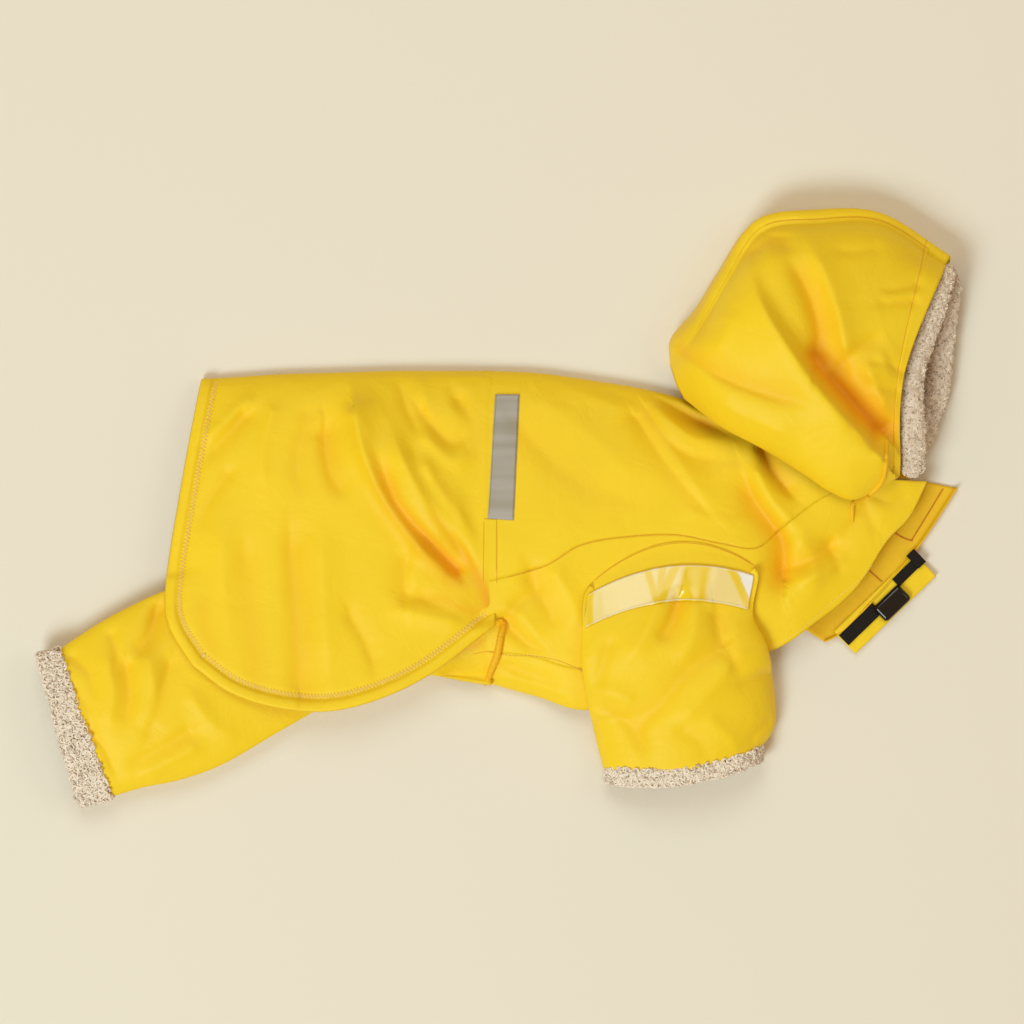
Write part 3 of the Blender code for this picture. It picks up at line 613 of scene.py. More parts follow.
def flush_with_waist(z, x, y, s, t):
    """The cape comes down to the body along the waist, where the two are sewn together."""
    at_body = body_height(np.maximum(x, -8.5), y) + 0.3 - 0.6 * ramp(s, 5.85, 6.0)
    share = ramp(s, 5.35, 5.85) * ramp(y, -76, -66) * (t >= 0)
    return puffed_hem(z * (1 - share) + at_body * share, x, y, s, t)


cape.extra = flush_with_waist
cape_rows = join_steps(spread(0, 0.62, 16), spread(0.62, 6, 120))
cape_columns = join_steps(spread(-1, 0, 26, False, True), spread(0, 1, 46, True), spread(1, 2, 38),
                          spread(2, 3, 20), spread(3, 3.55, 12), spread(3.55, 4, 18))
cape_cloth = shell("cape_cloth", *cape.grid(cape_rows, cape_columns), nylon("cape_nylon"))
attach(cape_cloth, "root")
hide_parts("cape", "cape_hem")


# Sherpa cuffs of the legs: a turned band of curly pile, its curls as short bent strands over a lumpy ground.
SHERPA_LIGHT = (0.970, 0.840, 0.680, 1.0)
SHERPA_DARK = (0.520, 0.370, 0.250, 1.0)
CURL_HIGH, CURL_WIDE, CURL_THICK = 1.7, 1.25, 0.58
#    upper_edge       lower_edge       bow crown
LEG_CUFF = (
    ((-286, -91), (-260, -183), 3, 27),
    ((-272.5, -87.5), (-239.6, -178.6), 0, 26),
)


def sherpa_material(name):
    """Curly pile: matt, with painted shade between the curls and darker odd strands."""
    material = bpy.data.materials.new(name)
    material.use_nodes = True
    tree = material.node_tree
    shader = tree.nodes["Principled BSDF"]
    shader.inputs["Roughness"].default_value = 0.95
    shader.inputs["Specular IOR Level"].default_value = 0.1
    shader.inputs["Sheen Weight"].default_value = 0.25
    tone_and_painted_shade = node(tree, "ShaderNodeAttribute", (-700, 0), attribute_name="tone_and_painted_shade")
    where = node(tree, "ShaderNodeTexCoord", (-1100, -200))
    flecks = node(tree, "ShaderNodeTexNoise", (-900, -200), Scale=520.0, Detail=2.0)
    tree.links.new(where.outputs["Object"], flecks.inputs["Vector"])
    both = node(tree, "ShaderNodeMath", (-500, 0), operation="MULTIPLY_ADD")
    tree.links.new(flecks.outputs["Fac"], both.inputs[0])
    both.inputs[1].default_value = 0.30
    tree.links.new(tone_and_painted_shade.outputs["Fac"], both.inputs[2])
    mix = node(tree, "ShaderNodeMix", (-300, 0), data_type="RGBA")
    mix.inputs["A"].default_value = SHERPA_DARK
    mix.inputs["B"].default_value = SHERPA_LIGHT
    tree.links.new(both.outputs[0], mix.inputs["Factor"])
    tree.links.new(mix.outputs["Result"], shader.inputs["Base Color"])
    return material


def pile(name, points, material, curls, seed, closed=True, lump=1.0, shade=None):
    """Curly pile on a grid of points in millimetres: a lumpy ground and curls standing on it, as one mesh."""
    ground = shell(name, points, np.zeros(points.shape[:2]), material, wall=0.0, closed=closed)
    mesh = ground.data
    count = len(mesh.vertices)
    places = np.array([v.co for v in mesh.vertices]) / MM
    normals = np.array([v.normal for v in mesh.vertices])
    bumps = np.array([noise.noise(Vector(p) * 0.34) + 0.5 * noise.noise(Vector(p) * 0.9) for p in places])
    shade = np.ones(count) if shade is None else shade.reshape(-1)
    places = places + normals * (bumps * lump)[:, None]
    faces = [list(polygon.vertices) for polygon in mesh.polygons]
    area = np.array([polygon.area for polygon in mesh.polygons])
    corners = np.array(faces)
    random = np.random.default_rng(seed)
    picked = random.choice(len(corners), size=curls, p=area / area.sum())
    weights = random.dirichlet((1, 1, 1, 1), size=curls)[..., None]
    roots = (places[corners[picked]] * weights).sum(1)
    out = normals[corners[picked]].mean(1)
    out /= np.linalg.norm(out, axis=1)[:, None]
    across = np.cross(out, random.normal(size=(curls, 3)))
    across /= np.linalg.norm(across, axis=1)[:, None]
    along = np.cross(out, across)
    rings, sides = 5, 3
    u = np.linspace(0, 1, rings)[None, :, None]
    size = random.uniform(0.5, 1.5, (curls, 1, 1))
    turn = random.uniform(3.2, 5.2, (curls, 1, 1)) * u
    spine_line = (roots[:, None] + out[:, None] * size * (np.sin(np.pi * u) * CURL_HIGH - 0.15)
                  + across[:, None] * size * CURL_WIDE * np.cos(turn)
                  + along[:, None] * size * CURL_WIDE * np.sin(turn))
    heading = np.gradient(spine_line, axis=1)
    heading /= np.linalg.norm(heading, axis=2)[..., None] + 1e-9
    side_a = np.cross(heading, out[:, None])
    side_a /= np.linalg.norm(side_a, axis=2)[..., None] + 1e-9
    side_b = np.cross(heading, side_a)
    thick = CURL_THICK * size * (0.45 + 0.55 * np.sin(np.pi * (0.1 + 0.8 * u)))
    round_ = np.arange(sides) * 2 * np.pi / sides
    round_cos, round_sin = np.cos(round_)[None, None, :, None], np.sin(round_)[None, None, :, None]
    rim = (spine_line[:, :, None] + side_a[:, :, None] * (round_cos * thick[..., None])
           + side_b[:, :, None] * (round_sin * thick[..., None]))
    rim = rim.reshape(-1, 3)
    base = count + np.arange(curls)[:, None, None] * rings * sides
    i, j = np.meshgrid(np.arange(rings - 1), np.arange(sides), indexing="ij")
    k = (j + 1) % sides
    quads = np.stack([i * sides + j, i * sides + k, (i + 1) * sides + k, (i + 1) * sides + j], axis=-1)
    quads = (base + quads.reshape(1, -1, 4)).reshape(-1, 4)
    # The ground is painted darker in its hollows, and ground and curls take the given shade: painted shade.
    # The odd dark curls are the pile's own tone.
    curl_tone = np.where(random.random(curls) < 0.07, 0.15, random.uniform(0.62, 0.95, curls))
    curl_tone *= shade[corners[picked]].mean(1)
    tone_and_painted_shade = np.concatenate([np.clip(0.5 + bumps * 0.5, 0, 1) * shade, np.repeat(curl_tone, rings * sides)])
    full = bpy.data.meshes.new(name)
    full.from_pydata((np.concatenate([places, rim]) * MM).tolist(), [], faces + quads.tolist())
    full.shade_smooth()
    attribute = full.attributes.new("tone_and_painted_shade", "FLOAT", "POINT")
    attribute.data.foreach_set("value", tone_and_painted_shade.astype(np.float32))
    full.materials.append(material)
    ground.data = full
    bpy.data.meshes.remove(mesh)
    full.name = name
    return ground


right_cuff = limb(LEG_CUFF, edge=6.2)
right_cuff.ground = right_leg.ground
leg_cuff_right = pile("leg_cuff_right_sherpa", right_cuff.grid(np.linspace(0, 1, 18), ring(90, 50))[0],
                      sherpa_material("leg_cuff_right_pile"), 3800, 3)
left_cuff = limb(LEG_CUFF, edge=3.4, step=3.0, flat=CAPE_ROOM + FLAT_LIMB)
left_cuff.ground = left_leg.ground
leg_cuff_left = pile("leg_cuff_left_sherpa", left_cuff.grid(np.linspace(0, 1, 8), ring(40, 30))[0],
                     sherpa_material("leg_cuff_left_pile"), 900, 4, lump=0.4)
for piece, stands_for in ((leg_cuff_left, "cuff_leg_left"), (leg_cuff_right, "cuff_leg_right")):
    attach(piece, "root")
    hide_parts(stands_for)

# Sleeves: the right one lies over the chest, the left one is flattened under the coat. Each ends in sherpa.
#    rear_edge   front_edge    bow  crown
SLEEVE = (
    ((65, -161), (163, -149), -7, 33),
    ((59, -137), (172, -134), -3, 36),
    ((54, -113), (171, -107), 2, 39),
    ((51, -93), (166, -84), 7, 42),
    ((51.5, -76), (157.5, -65), 12, 42),
    ((53, -54), (160.5, -42), 14, 40),
    ((57, -47), (158, -36), 21, 35),
)
SLEEVE_CUFF = (
    ((68, -169), (162.5, -156), -7, 33),
    ((68, -159.5), (162.6, -147.4), -7, 32),
)
SLEEVE_CREASES = (
    (-9.0, -3.0, 5.0, 0.3, (111, -55), (106, -70), (97, -84)),
    (4.0, 2.0, 6.0, 0.0, (98, -60), (91, -76), (80, -94)),
    (4.0, 1.5, 7.0, 0.0, (121, -60), (120, -78), (110, -98)),
    (-4.5, -2.5, 6.5, 0.3, (134, -66), (137, -80), (144, -92), (150, -108)),
    (-3.6, -2.6, 8.0, -0.4, (134, -88), (116, -101), (102, -119), (88, -134), (91, -154)),
    (3.2, 2.4, 9.0, 0.0, (148, -90), (128, -114), (106, -138)),
    (3.4, 2.0, 6.5, 0.0, (54, -112), (72, -114), (86, -122)),
    (-3.0, -2.0, 5.0, 0.25, (56, -122), (72, -127), (83, -136), (94, -158)),
    (-2.6, -1.6, 5.0, 0.0, (68, -84), (63, -100), (59, -114)),
    (-2.2, -1.2, 4.0, 0.2, (169, -98), (158, -106), (144, -108)),
    (-2.2, -1.2, 4.0, 0.0, (171, -130), (160, -138), (154, -148)),
    (-2.0, -1.0, 5.0, 0.0, (114, -136), (126, -146), (129, -160)),
    (2.0, 1.2, 5.0, 0.0, (132, -132), (144, -142), (148, -154)),
)
left_sleeve = limb(SLEEVE, step=3.0, flat=FLAT_LIMB, edge=3.4, bow_side=-1)
left_sleeve_cuff = limb(SLEEVE_CUFF, edge=3.4, step=3.0, flat=FLAT_LIMB, bow_side=-1)
right_sleeve = limb(SLEEVE, SLEEVE_CREASES)
right_sleeve.ground = resting_on(body_tree, left_sleeve.top_tree(40, 20), left_sleeve_cuff.top_tree(4, 20),
                                 reach=6.0)


def sewn_into_armhole(z, x, y, s, t):
    """The sleeve comes down to the side panel along the armhole."""
    share = ramp(s, 2.6, 5.95) * (t >= 0)
    return z * (1 - share) + (np.maximum(body_height(x, y), 18) + 0.9) * share


right_sleeve.extra = sewn_into_armhole
sleeve_right = shell("sleeve_right_cloth", *right_sleeve.grid(np.linspace(0, 6, 100), ring(76, 30)),
                     nylon("sleeve_right_nylon"), closed=True)
sleeve_left = shell("sleeve_left_cloth", *left_sleeve.grid(np.linspace(0, 6, 40), ring(24, 20)),
                    nylon("sleeve_left_nylon"), closed=True)
for piece, stands_for, under in ((sleeve_right, "sleeve_right", "side_right"),
                                 (sleeve_left, "sleeve_left", "floor")):
    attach(piece, "root")
    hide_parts(stands_for)
right_sleeve_cuff = limb(SLEEVE_CUFF, edge=6.2)
right_sleeve_cuff.ground = right_sleeve.ground
sleeve_cuff_right = pile("sleeve_cuff_right_sherpa",
                         right_sleeve_cuff.grid(np.linspace(0, 1, 14), ring(90, 50))[0],
                         sherpa_material("sleeve_cuff_right_pile"), 3200, 5)
sleeve_cuff_left = pile("sleeve_cuff_left_sherpa",
                        left_sleeve_cuff.grid(np.linspace(0, 1, 7), ring(40, 30))[0],
                        sherpa_material("sleeve_cuff_left_pile"), 800, 6, lump=0.4)
for piece, stands_for in ((sleeve_cuff_right, "cuff_sleeve_right"), (sleeve_cuff_left, "cuff_sleeve_left")):
    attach(piece, "root")
    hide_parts(stands_for)

# Clear vinyl band round the sleeve: a glossy film with white stitched edges. Its colour holds a painted
# reflection, milky in patches, with the yellow between them and a painted white highlight at its end.
VINYL_PAINTED_REFLECTION = (0.930, 0.740, 0.270, 1.0)
VINYL_YELLOW = (0.900, 0.620, 0.010, 1.0)
VINYL_PAINTED_HIGHLIGHT = (0.930, 0.900, 0.830, 1.0)
BAND_ROWS, BAND_COLUMNS = np.linspace(4.05, 4.95, 26), np.linspace(0.02, 0.975, 150)
# The painted white highlight at the band's end begins at this share along its upper edge, and leans by this
# much.
BAND_HIGHLIGHT_START, BAND_HIGHLIGHT_LEAN = 0.87, -0.145
# Where the yellow shows between the patches of painted reflection: share along the band at its upper and
# lower edge, half width, strength.
BAND_YELLOW_PATCHES = (
    (0.035, 0.045, 0.020, 1.0),
    (0.360, 0.440, 0.020, 1.0),
    (0.530, 0.455, 0.028, 1.0),
    (0.450, 0.450, 0.022, 0.9),
    (0.650, 0.640, 0.080, 1.0),
    (0.840, 0.985, 0.026, 0.9),
)


def band_swell(z, x, y, s, t):
    """The film stands off the sleeve in low, uneven waves."""
    wave = 0.10 * np.sin(t * 31 + s * 2) + 0.07 * np.sin(t * 57 + 1.3)
    return sewn_into_armhole(z, x, y, s, t) + wave * ramp(s, 4.05, 4.25) * (1 - ramp(s, 4.75, 4.95))


right_sleeve.extra = band_swell
band_points, _ = right_sleeve.grid(BAND_ROWS, BAND_COLUMNS, out=1.3)
band_s, band_t = np.meshgrid(np.linspace(0, 1, len(BAND_ROWS)), BAND_COLUMNS, indexing="ij")
# The mask is 1 where the yellow shows and 0 under the milky painted reflection.
film_paint_mask = np.zeros(band_t.shape)
for upper_place, lower_place, half_width, strength in BAND_YELLOW_PATCHES:
    middle_line = lower_place + (upper_place - lower_place) * band_s
    away = np.abs(band_t - middle_line)
    film_paint_mask = np.maximum(film_paint_mask, strength * (1 - ramp(away, half_width * 0.7, half_width * 1.3)))
# Past this line the mask reads 2: the painted white highlight at the band's end.
highlight_edge = BAND_HIGHLIGHT_START + BAND_HIGHLIGHT_LEAN * (band_s - 1)
film_paint_mask = np.where(band_t > highlight_edge, 2.0, film_paint_mask)
vinyl = bpy.data.materials.new("vinyl_film")
vinyl.use_nodes = True
shader = vinyl.node_tree.nodes["Principled BSDF"]
shader.inputs["Roughness"].default_value = 0.25
shader.inputs["Coat Weight"].default_value = 0.35
shader.inputs["Coat Roughness"].default_value = 0.12
film_paint_attribute = node(vinyl.node_tree, "ShaderNodeAttribute", attribute_name="painted_light_mask")
film = node(vinyl.node_tree, "ShaderNodeMix", data_type="RGBA")
film.inputs["A"].default_value = VINYL_PAINTED_REFLECTION
film.inputs["B"].default_value = VINYL_YELLOW
vinyl.node_tree.links.new(film_paint_attribute.outputs["Fac"], film.inputs["Factor"])
# The mask's share over 1 lays the painted white highlight.
turned = node(vinyl.node_tree, "ShaderNodeMath", operation="SUBTRACT", use_clamp=True)
turned.inputs[1].default_value = 1.0
vinyl.node_tree.links.new(film_paint_attribute.outputs["Fac"], turned.inputs[0])
highlight_mix = node(vinyl.node_tree, "ShaderNodeMix", data_type="RGBA")
highlight_mix.inputs["B"].default_value = VINYL_PAINTED_HIGHLIGHT
vinyl.node_tree.links.new(turned.outputs[0], highlight_mix.inputs["Factor"])
vinyl.node_tree.links.new(film.outputs["Result"], highlight_mix.inputs["A"])
vinyl.node_tree.links.new(highlight_mix.outputs["Result"], shader.inputs["Base Color"])
band = shell("sleeve_band_vinyl", band_points, film_paint_mask, vinyl, wall=0.4)
right_sleeve.extra = sewn_into_armhole
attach(band, "root")
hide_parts("sleeve_band")

# Hood: two nylon sides with a crown strip between them, a hem round the face and a sherpa lining that
# shows there. It stands in a dome, with a deep fold from the crown to the chin.
HOOD_EDGE = 10.0
#    crown       crown_seam  middle      upper_neck  under_middle under_neck  height neck_rise
HOOD = (
    ((106.6, 90), (107.5, 87), (110, 78), (115, 68.5), (111, 77), (116, 68), 18, 12),
    ((107, 106), (116, 99), (128, 78), (137, 51), (130, 80), (144, 56.4), 48, 28),
    ((122, 124), (128.5, 118), (148, 78), (162, 37.5), (146, 84), (166, 46.6), 59, 32),
    ((136, 147), (142, 141), (166, 82), (186, 23), (165, 90), (187, 37.5), 63, 31),
    ((158, 177), (163, 171), (186, 90), (204, 11), (188, 96), (206, 29.4), 63, 30),
    ((197, 185), (197, 176), (210, 90), (219, 5.5), (214, 96), (224, 21.7), 59, 30),
    ((238, 180), (237, 175.5), (236, 88), (234, 12), (244, 92), (242, 19.3), 53, 28),
    ((281, 154), (277, 151), (250, 84), (248, 20), (272, 84), (257, 18.5), 46, 26),
)
HOOD_CREASES = (
    (8.0, 12.0, 10.0, -0.5, (152, 158), (161, 124), (184, 88), (208, 59), (235, 31)),
    (-4.0, -9.0, 8.0, 0.3, (176, 158), (189, 134), (196, 112), (194, 94)),
    (-10.0, -13.0, 11.0, 0.35, (186, 100), (202, 82), (218, 66), (233, 50)),
    (-4.0, -3.0, 7.0, 0.2, (152, 158), (166, 164), (186, 160)),
    (-4.0, -3.5, 6.0, 0.0, (206, 78), (217, 63), (223, 48)),
    (4.0, 6.5, 6.5, 0.3, (190, 166), (200, 143), (208, 119), (212, 100)),
    (-2.6, -4.0, 6.0, 0.25, (238, 108), (222, 99), (210, 88)),
    (4.0, 4.0, 7.0, 0.0, (242, 92), (229, 86), (222, 80)),
    (3.5, 3.5, 5.0, 0.0, (226, 88), (234, 70), (241, 57)),
    (-5.0, -4.5, 7.5, 0.45, (112, 98), (139, 80), (168, 69), (196, 62)),
    (3.6, 3.6, 10.0, 0.0, (124, 72), (152, 56), (188, 42)),
    (-2.0, -2.0, 6.0, 0.0, (130, 136), (127, 116), (116, 98)),
    (2.4, 2.4, 8.0, 0.0, (144, 124), (137, 104), (130, 94)),
    (-2.2, -1.6, 3.2, 0.0, (258, 138), (246, 135), (232, 134)),
    (-2.4, -1.6, 3.2, 0.0, (256, 128), (244, 127), (230, 125)),
    (1.6, 1.2, 3.0, 0.0, (256, 132), (246, 131), (234, 130)),
    (-2.6, -1.6, 3.2, 0.0, (249, 84), (238, 89), (224, 91)),
    (-2.4, -1.6, 3.2, 0.0, (245, 73), (234, 75), (224, 79)),
    (-2.4, -2.0, 3.0, 0.0, (240, 52), (233, 45), (229, 34)),
    (-2.0, -1.4, 4.0, 0.2, (156, 173), (168, 168), (184, 167)),
    (-2.2, -1.6, 4.0, 0.2, (233, 38), (221, 43), (212, 54)),
    (-1.8, -1.2, 4.0, 0.0, (270, 152), (258, 156), (246, 160)),
    (-2.0, -1.2, 4.0, 0.0, (144, 148), (155, 158), (168, 160)),
    (-1.6, -1.2, 4.0, 0.0, (232, 160), (218, 158), (204, 160)),
)
crown, crown_seam, hood_middle, neck, under_middle, under_neck, heights, neck_rise = columns_of(
    HOOD, 0, 1, 2, 3, 4, 5, 6, 7)
hood = Lay([crown, crown_seam, hood_middle, neck], [crown, crown_seam, under_middle, under_neck], heights,
           HOOD_CREASES, tube=False, edge=HOOD_EDGE, far=neck_rise)
hood.curved = True
hood.cover = resting_on(body_tree, clear=1.6 + LAYER_GAP, reach=3.0)
hood_rows = np.linspace(0, 6.97, 120)
strip_columns = join_steps(spread(-0.9, 0, 8), spread(0, 0.93, 12))
hood_strip = shell("hood_crown_cloth", *hood.grid(hood_rows, strip_columns), nylon("hood_crown_nylon"))
right_columns = join_steps(spread(0.93, 2, 60), spread(2, 3, 56, False, True))
hood_right = shell("hood_right_cloth", *hood.grid(hood_rows, right_columns), nylon("hood_right_nylon"))
hood_left = shell("hood_left_cloth", *hood.grid(np.linspace(0, 6.97, 50), spread(-3, -0.9, 40)),
                  nylon("hood_left_nylon"))
hood_sizes = ((hood_strip, "hood_crown", (0.040, 0.260), 0.0075),
              (hood_right, "hood_right", (0.190, 0.190), 0.026),
              (hood_left, "hood_left", (0.180, 0.180), 0.022))
for piece, stands_for, flat, area in hood_sizes:
    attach(piece, "root")
    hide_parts(stands_for)
hem_columns = join_steps(spread(-3, -1, 24), spread(-1, 1, 20), spread(1, 3, 80))
hood_hem = shell("hood_hem_cloth", *hood.grid(np.linspace(6.72, 7, 7), hem_columns, out=0.5),
                 nylon("hood_hem_nylon"))
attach(hood_hem, "root")
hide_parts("hood_hem")

# Sherpa round the face: the near edge's roll, and the far side's lining that shows past it.
# Near roll: its middle in plan, its height, and its half width.
NEAR_PILE = (
    (281, 150, 22, 3.5), (277, 142, 27, 4.5), (271, 126, 31, 6.0), (262, 104, 33, 7.0), (256, 84, 33, 6.8),
    (255, 66, 32, 7.2), (256, 46, 30, 7.4), (256, 30, 28, 7.0), (257, 20, 26, 6.0),
)
FAR_PILE = (
    (281, 148, 17, 4.0), (281, 136, 15, 5.5), (276, 118, 12, 8.5), (272, 96, 10, 10.0), (271, 78, 9, 10.0),
    (267, 60, 9, 8.5), (263, 44, 10, 6.5), (259, 30, 14, 5.0), (257, 22, 18, 4.0),
)


def rolled(table, rows, columns, flatness):
    """A roll round a line: its sections are flattened ellipses."""
    line = rows_at(table, np.linspace(0, len(table) - 1, rows))
    heading = np.gradient(line[:, :3], axis=0)
    heading /= np.linalg.norm(heading, axis=1)[:, None]
    across = np.cross(heading, (0, 0, 1))
    across /= np.linalg.norm(across, axis=1)[:, None]
    angle = np.linspace(0, 2 * np.pi, columns, endpoint=False)
    ends = np.sqrt(np.clip(np.minimum(np.arange(rows), np.arange(rows)[::-1]) / 4 + 0.15, 0, 1))
    wide = line[:, 3] * ends
    return (line[:, None, :3] + across[:, None] * (np.cos(angle)[None, :] * wide[:, None])[..., None]
            + np.array([0, 0, 1]) * (np.sin(angle)[None, :] * wide[:, None] * flatness)[..., None])


near_pile = pile("hood_near_sherpa", rolled(NEAR_PILE, 120, 44, 0.62), sherpa_material("hood_near_pile"),
                 3600, 7, lump=1.8)
# The far pile is darkened on its inner side, towards the near roll: painted shade in the face opening.
inner_side = np.cos(np.linspace(0, 2 * np.pi, 48, endpoint=False))
far_shade = np.tile(1 - 0.85 * ramp(inner_side, -0.1, 0.75), (110, 1))
far_pile = pile("hood_far_sherpa", rolled(FAR_PILE, 110, 48, 0.40), sherpa_material("hood_far_pile"), 4200, 8,
                lump=2.0, shade=far_shade)
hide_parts("hood_sherpa")
for piece in (near_pile, far_pile):
    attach(piece, "root")

# Waist: the drawcord casing, the gathered seam that stands up at the belly, and the reflective tape.
TAPE_CORNERS = ((-2, 71), (13, 71), (9.5, -7), (-6.5, -6))
CASING_CORNERS = ((-8.6, -5.8), (-1.0, -6.0), (-1, -46), (-9.4, -46))
WAIST_RIDGE = ((1, -68, 0.9), (3, -72, 1.7), (1.5, -78, 2.1), (0.5, -84, 2.2), (-1, -91, 2.3), (-4, -99, 2.1),
               (-7, -107, 1.6), (-8.5, -110, 0.8))


def tree_of(*pieces):
    """The shown outer faces of these pieces, for a plumb line in millimetres."""
    corners, faces = [], []
    for piece in pieces:
        start = len(corners)
        corners += [tuple(v.co / MM) for v in piece.data.vertices]
        faces += [[start + v for v in polygon.vertices] for polygon in piece.data.polygons]
    return BVHTree.FromPolygons(corners, faces)


def strip(name, corners, thick, over, material, across, along):
    """A flat piece laid over the coat between its corners in plan."""
    a, b, c, d = (np.array(p, float) for p in corners)
    v, u = np.meshgrid(np.linspace(0, 1, along), np.linspace(0, 1, across), indexing="ij")
    v, u = v[..., None], u[..., None]
    plan = (a * (1 - u) + b * u) * (1 - v) + (d * (1 - u) + c * u) * v
    z = over(plan[..., 0], plan[..., 1]) + thick
    points = np.concatenate([plan, z[..., None]], axis=-1)[::-1]
    return shell(name, points, np.zeros(z.shape), material, wall=thick)


coat_tree = tree_of(back_panel, side_right, belly, cape_cloth)
over_coat = resting_on(coat_tree, clear=0.12, reach=0.6)
tape_look = bpy.data.materials.new("reflective_tape_look")
tape_look.use_nodes = True
tree = tape_look.node_tree
shader = tree.nodes["Principled BSDF"]
shader.inputs["Roughness"].default_value = 0.45
shader.inputs["Specular IOR Level"].default_value = 0.6
where = node(tree, "ShaderNodeTexCoord")
bands = node(tree, "ShaderNodeTexNoise", Scale=9.0, Detail=1.0)
stretch = node(tree, "ShaderNodeMapping")
stretch.inputs["Scale"].default_value = (1.0, 12.0, 0.0)
tree.links.new(where.outputs["Object"], stretch.inputs["Vector"])
tree.links.new(stretch.outputs["Vector"], bands.inputs["Vector"])
shades = node(tree, "ShaderNodeValToRGB")
shades.color_ramp.elements[0].position, shades.color_ramp.elements[1].position = 0.35, 0.65
shades.color_ramp.elements[0].color = (0.350, 0.315, 0.235, 1)
shades.color_ramp.elements[1].color = (0.440, 0.400, 0.345, 1)
tree.links.new(bands.outputs["Fac"], shades.inputs["Fac"])
tree.links.new(shades.outputs["Color"], shader.inputs["Base Color"])
tape = strip("reflective_tape_strip", TAPE_CORNERS, 0.5, over_coat, tape_look, 12, 60)
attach(tape, "root")
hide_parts("reflective_tape")
over_cloth = resting_on(coat_tree, clear=-0.12, reach=0.6)


def sunk_at_point(x, y):
    """The casing goes down into the waist seam at its lower end."""
    return over_cloth(x, y) - 0.5 * ramp(-y, 34, 45)


casing = strip("casing_cloth", CASING_CORNERS, 0.2, sunk_at_point, nylon("casing_nylon"), 9, 36)
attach(casing, "root")
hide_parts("casing")


def cord_along(name, places, over, material, sides=10, rows=60, lumpy=0.0, sink=0.4):
    """A round seam laid over the coat: places in plan with its radius."""
    line = rows_at(places, np.linspace(0, len(places) - 1, rows))
    radius = line[:, 2] * (1 + lumpy * np.sin(np.arange(rows) * 1.9) * np.sin(np.arange(rows) * 0.61 + 1))
    z = over(line[:, 0], line[:, 1]) + radius * (1 - sink)
    middle = np.column_stack([line[:, :2], z])
    heading = np.gradient(middle, axis=0)
    heading /= np.linalg.norm(heading, axis=1)[:, None]
    across = np.cross(heading, (0, 0, 1))
    across /= np.linalg.norm(across, axis=1)[:, None]
    up = np.cross(across, heading)
    angle = np.linspace(0, 2 * np.pi, sides, endpoint=False)
    points = (middle[:, None] + across[:, None] * (np.cos(angle)[None] * radius[:, None])[..., None]
              + up[:, None] * (np.sin(angle)[None] * radius[:, None])[..., None])
    return shell(name, points, np.zeros(points.shape[:2]), material, wall=0.0, closed=True)


# The gathered seam's cloth is orange: painted shade in its gathers.
waist_shaded_nylon = nylon("waist_seam_shaded_nylon", (0.93, 0.50, 0.01, 1.0))
waist_seam = cord_along("waist_seam_cord", WAIST_RIDGE, over_coat, waist_shaded_nylon, 14, 90, 0.06, 0.3)
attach(waist_seam, "root")
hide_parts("waist_seam")

# Belt: a yellow strap along the underlap, black webbing with a glossy buckle on it, and a loop at its end.
BELT_START, BELT_ANGLE = (211.6, -79.1), math.radians(44.0)
STRAP_THICK, WEBBING_THICK = 1.9, 1.3
STRAP_SPAN = (0.0, 70.0, -4.0, 15.5)
WEBBING_SPANS = {"belt_webbing_lower": (0.5, 29.5, 0.0, 8.6), "belt_webbing_upper": (48.6, 67.5, -2.2, 4.2)}
BUCKLE_SPAN = (27.2, 49.2, 2.2, 14.8)
LOOP_SPAN = (65.0, 71.5, -6.5, 4.5)
BUCKLE_HIGH = 5.8


def belt_grid(span, z, rows, columns, wave=0.0):
    """Points of a flat belt piece by its extent along and across the belt."""
    start, end, inner, outer = span
    u, v = np.meshgrid(np.linspace(start, end, rows), np.linspace(outer, inner, columns), indexing="ij")
    x = BELT_START[0] + math.cos(BELT_ANGLE) * u + math.sin(BELT_ANGLE) * v
    y = BELT_START[1] + math.sin(BELT_ANGLE) * u - math.cos(BELT_ANGLE) * v
    height = z + wave * (np.sin(u * 0.16 + 0.6) + 0.5 * np.sin(u * 0.4 + v * 0.3))
    return np.stack([x, y, height], axis=-1)


def webbing_material(name):
    """Black woven tape."""
    material = bpy.data.materials.new(name)
    material.use_nodes = True
    tree = material.node_tree
    shader = tree.nodes["Principled BSDF"]
    shader.inputs["Base Color"].default_value = (0.014, 0.010, 0.007, 1)
    shader.inputs["Roughness"].default_value = 0.7
    shader.inputs["Specular IOR Level"].default_value = 0.2
    where = node(tree, "ShaderNodeTexCoord")
    turn = node(tree, "ShaderNodeMapping")
    turn.inputs["Rotation"].default_value = (0, 0, -BELT_ANGLE)
    weave = node(tree, "ShaderNodeTexWave", bands_direction="Y", Scale=260.0, Distortion=0.5)
    bump = node(tree, "ShaderNodeBump", Strength=0.6, Distance=0.0004)
    tree.links.new(where.outputs["Object"], turn.inputs["Vector"])
    tree.links.new(turn.outputs["Vector"], weave.inputs["Vector"])
    tree.links.new(weave.outputs["Fac"], bump.inputs["Height"])
    tree.links.new(bump.outputs["Normal"], shader.inputs["Normal"])
    return material


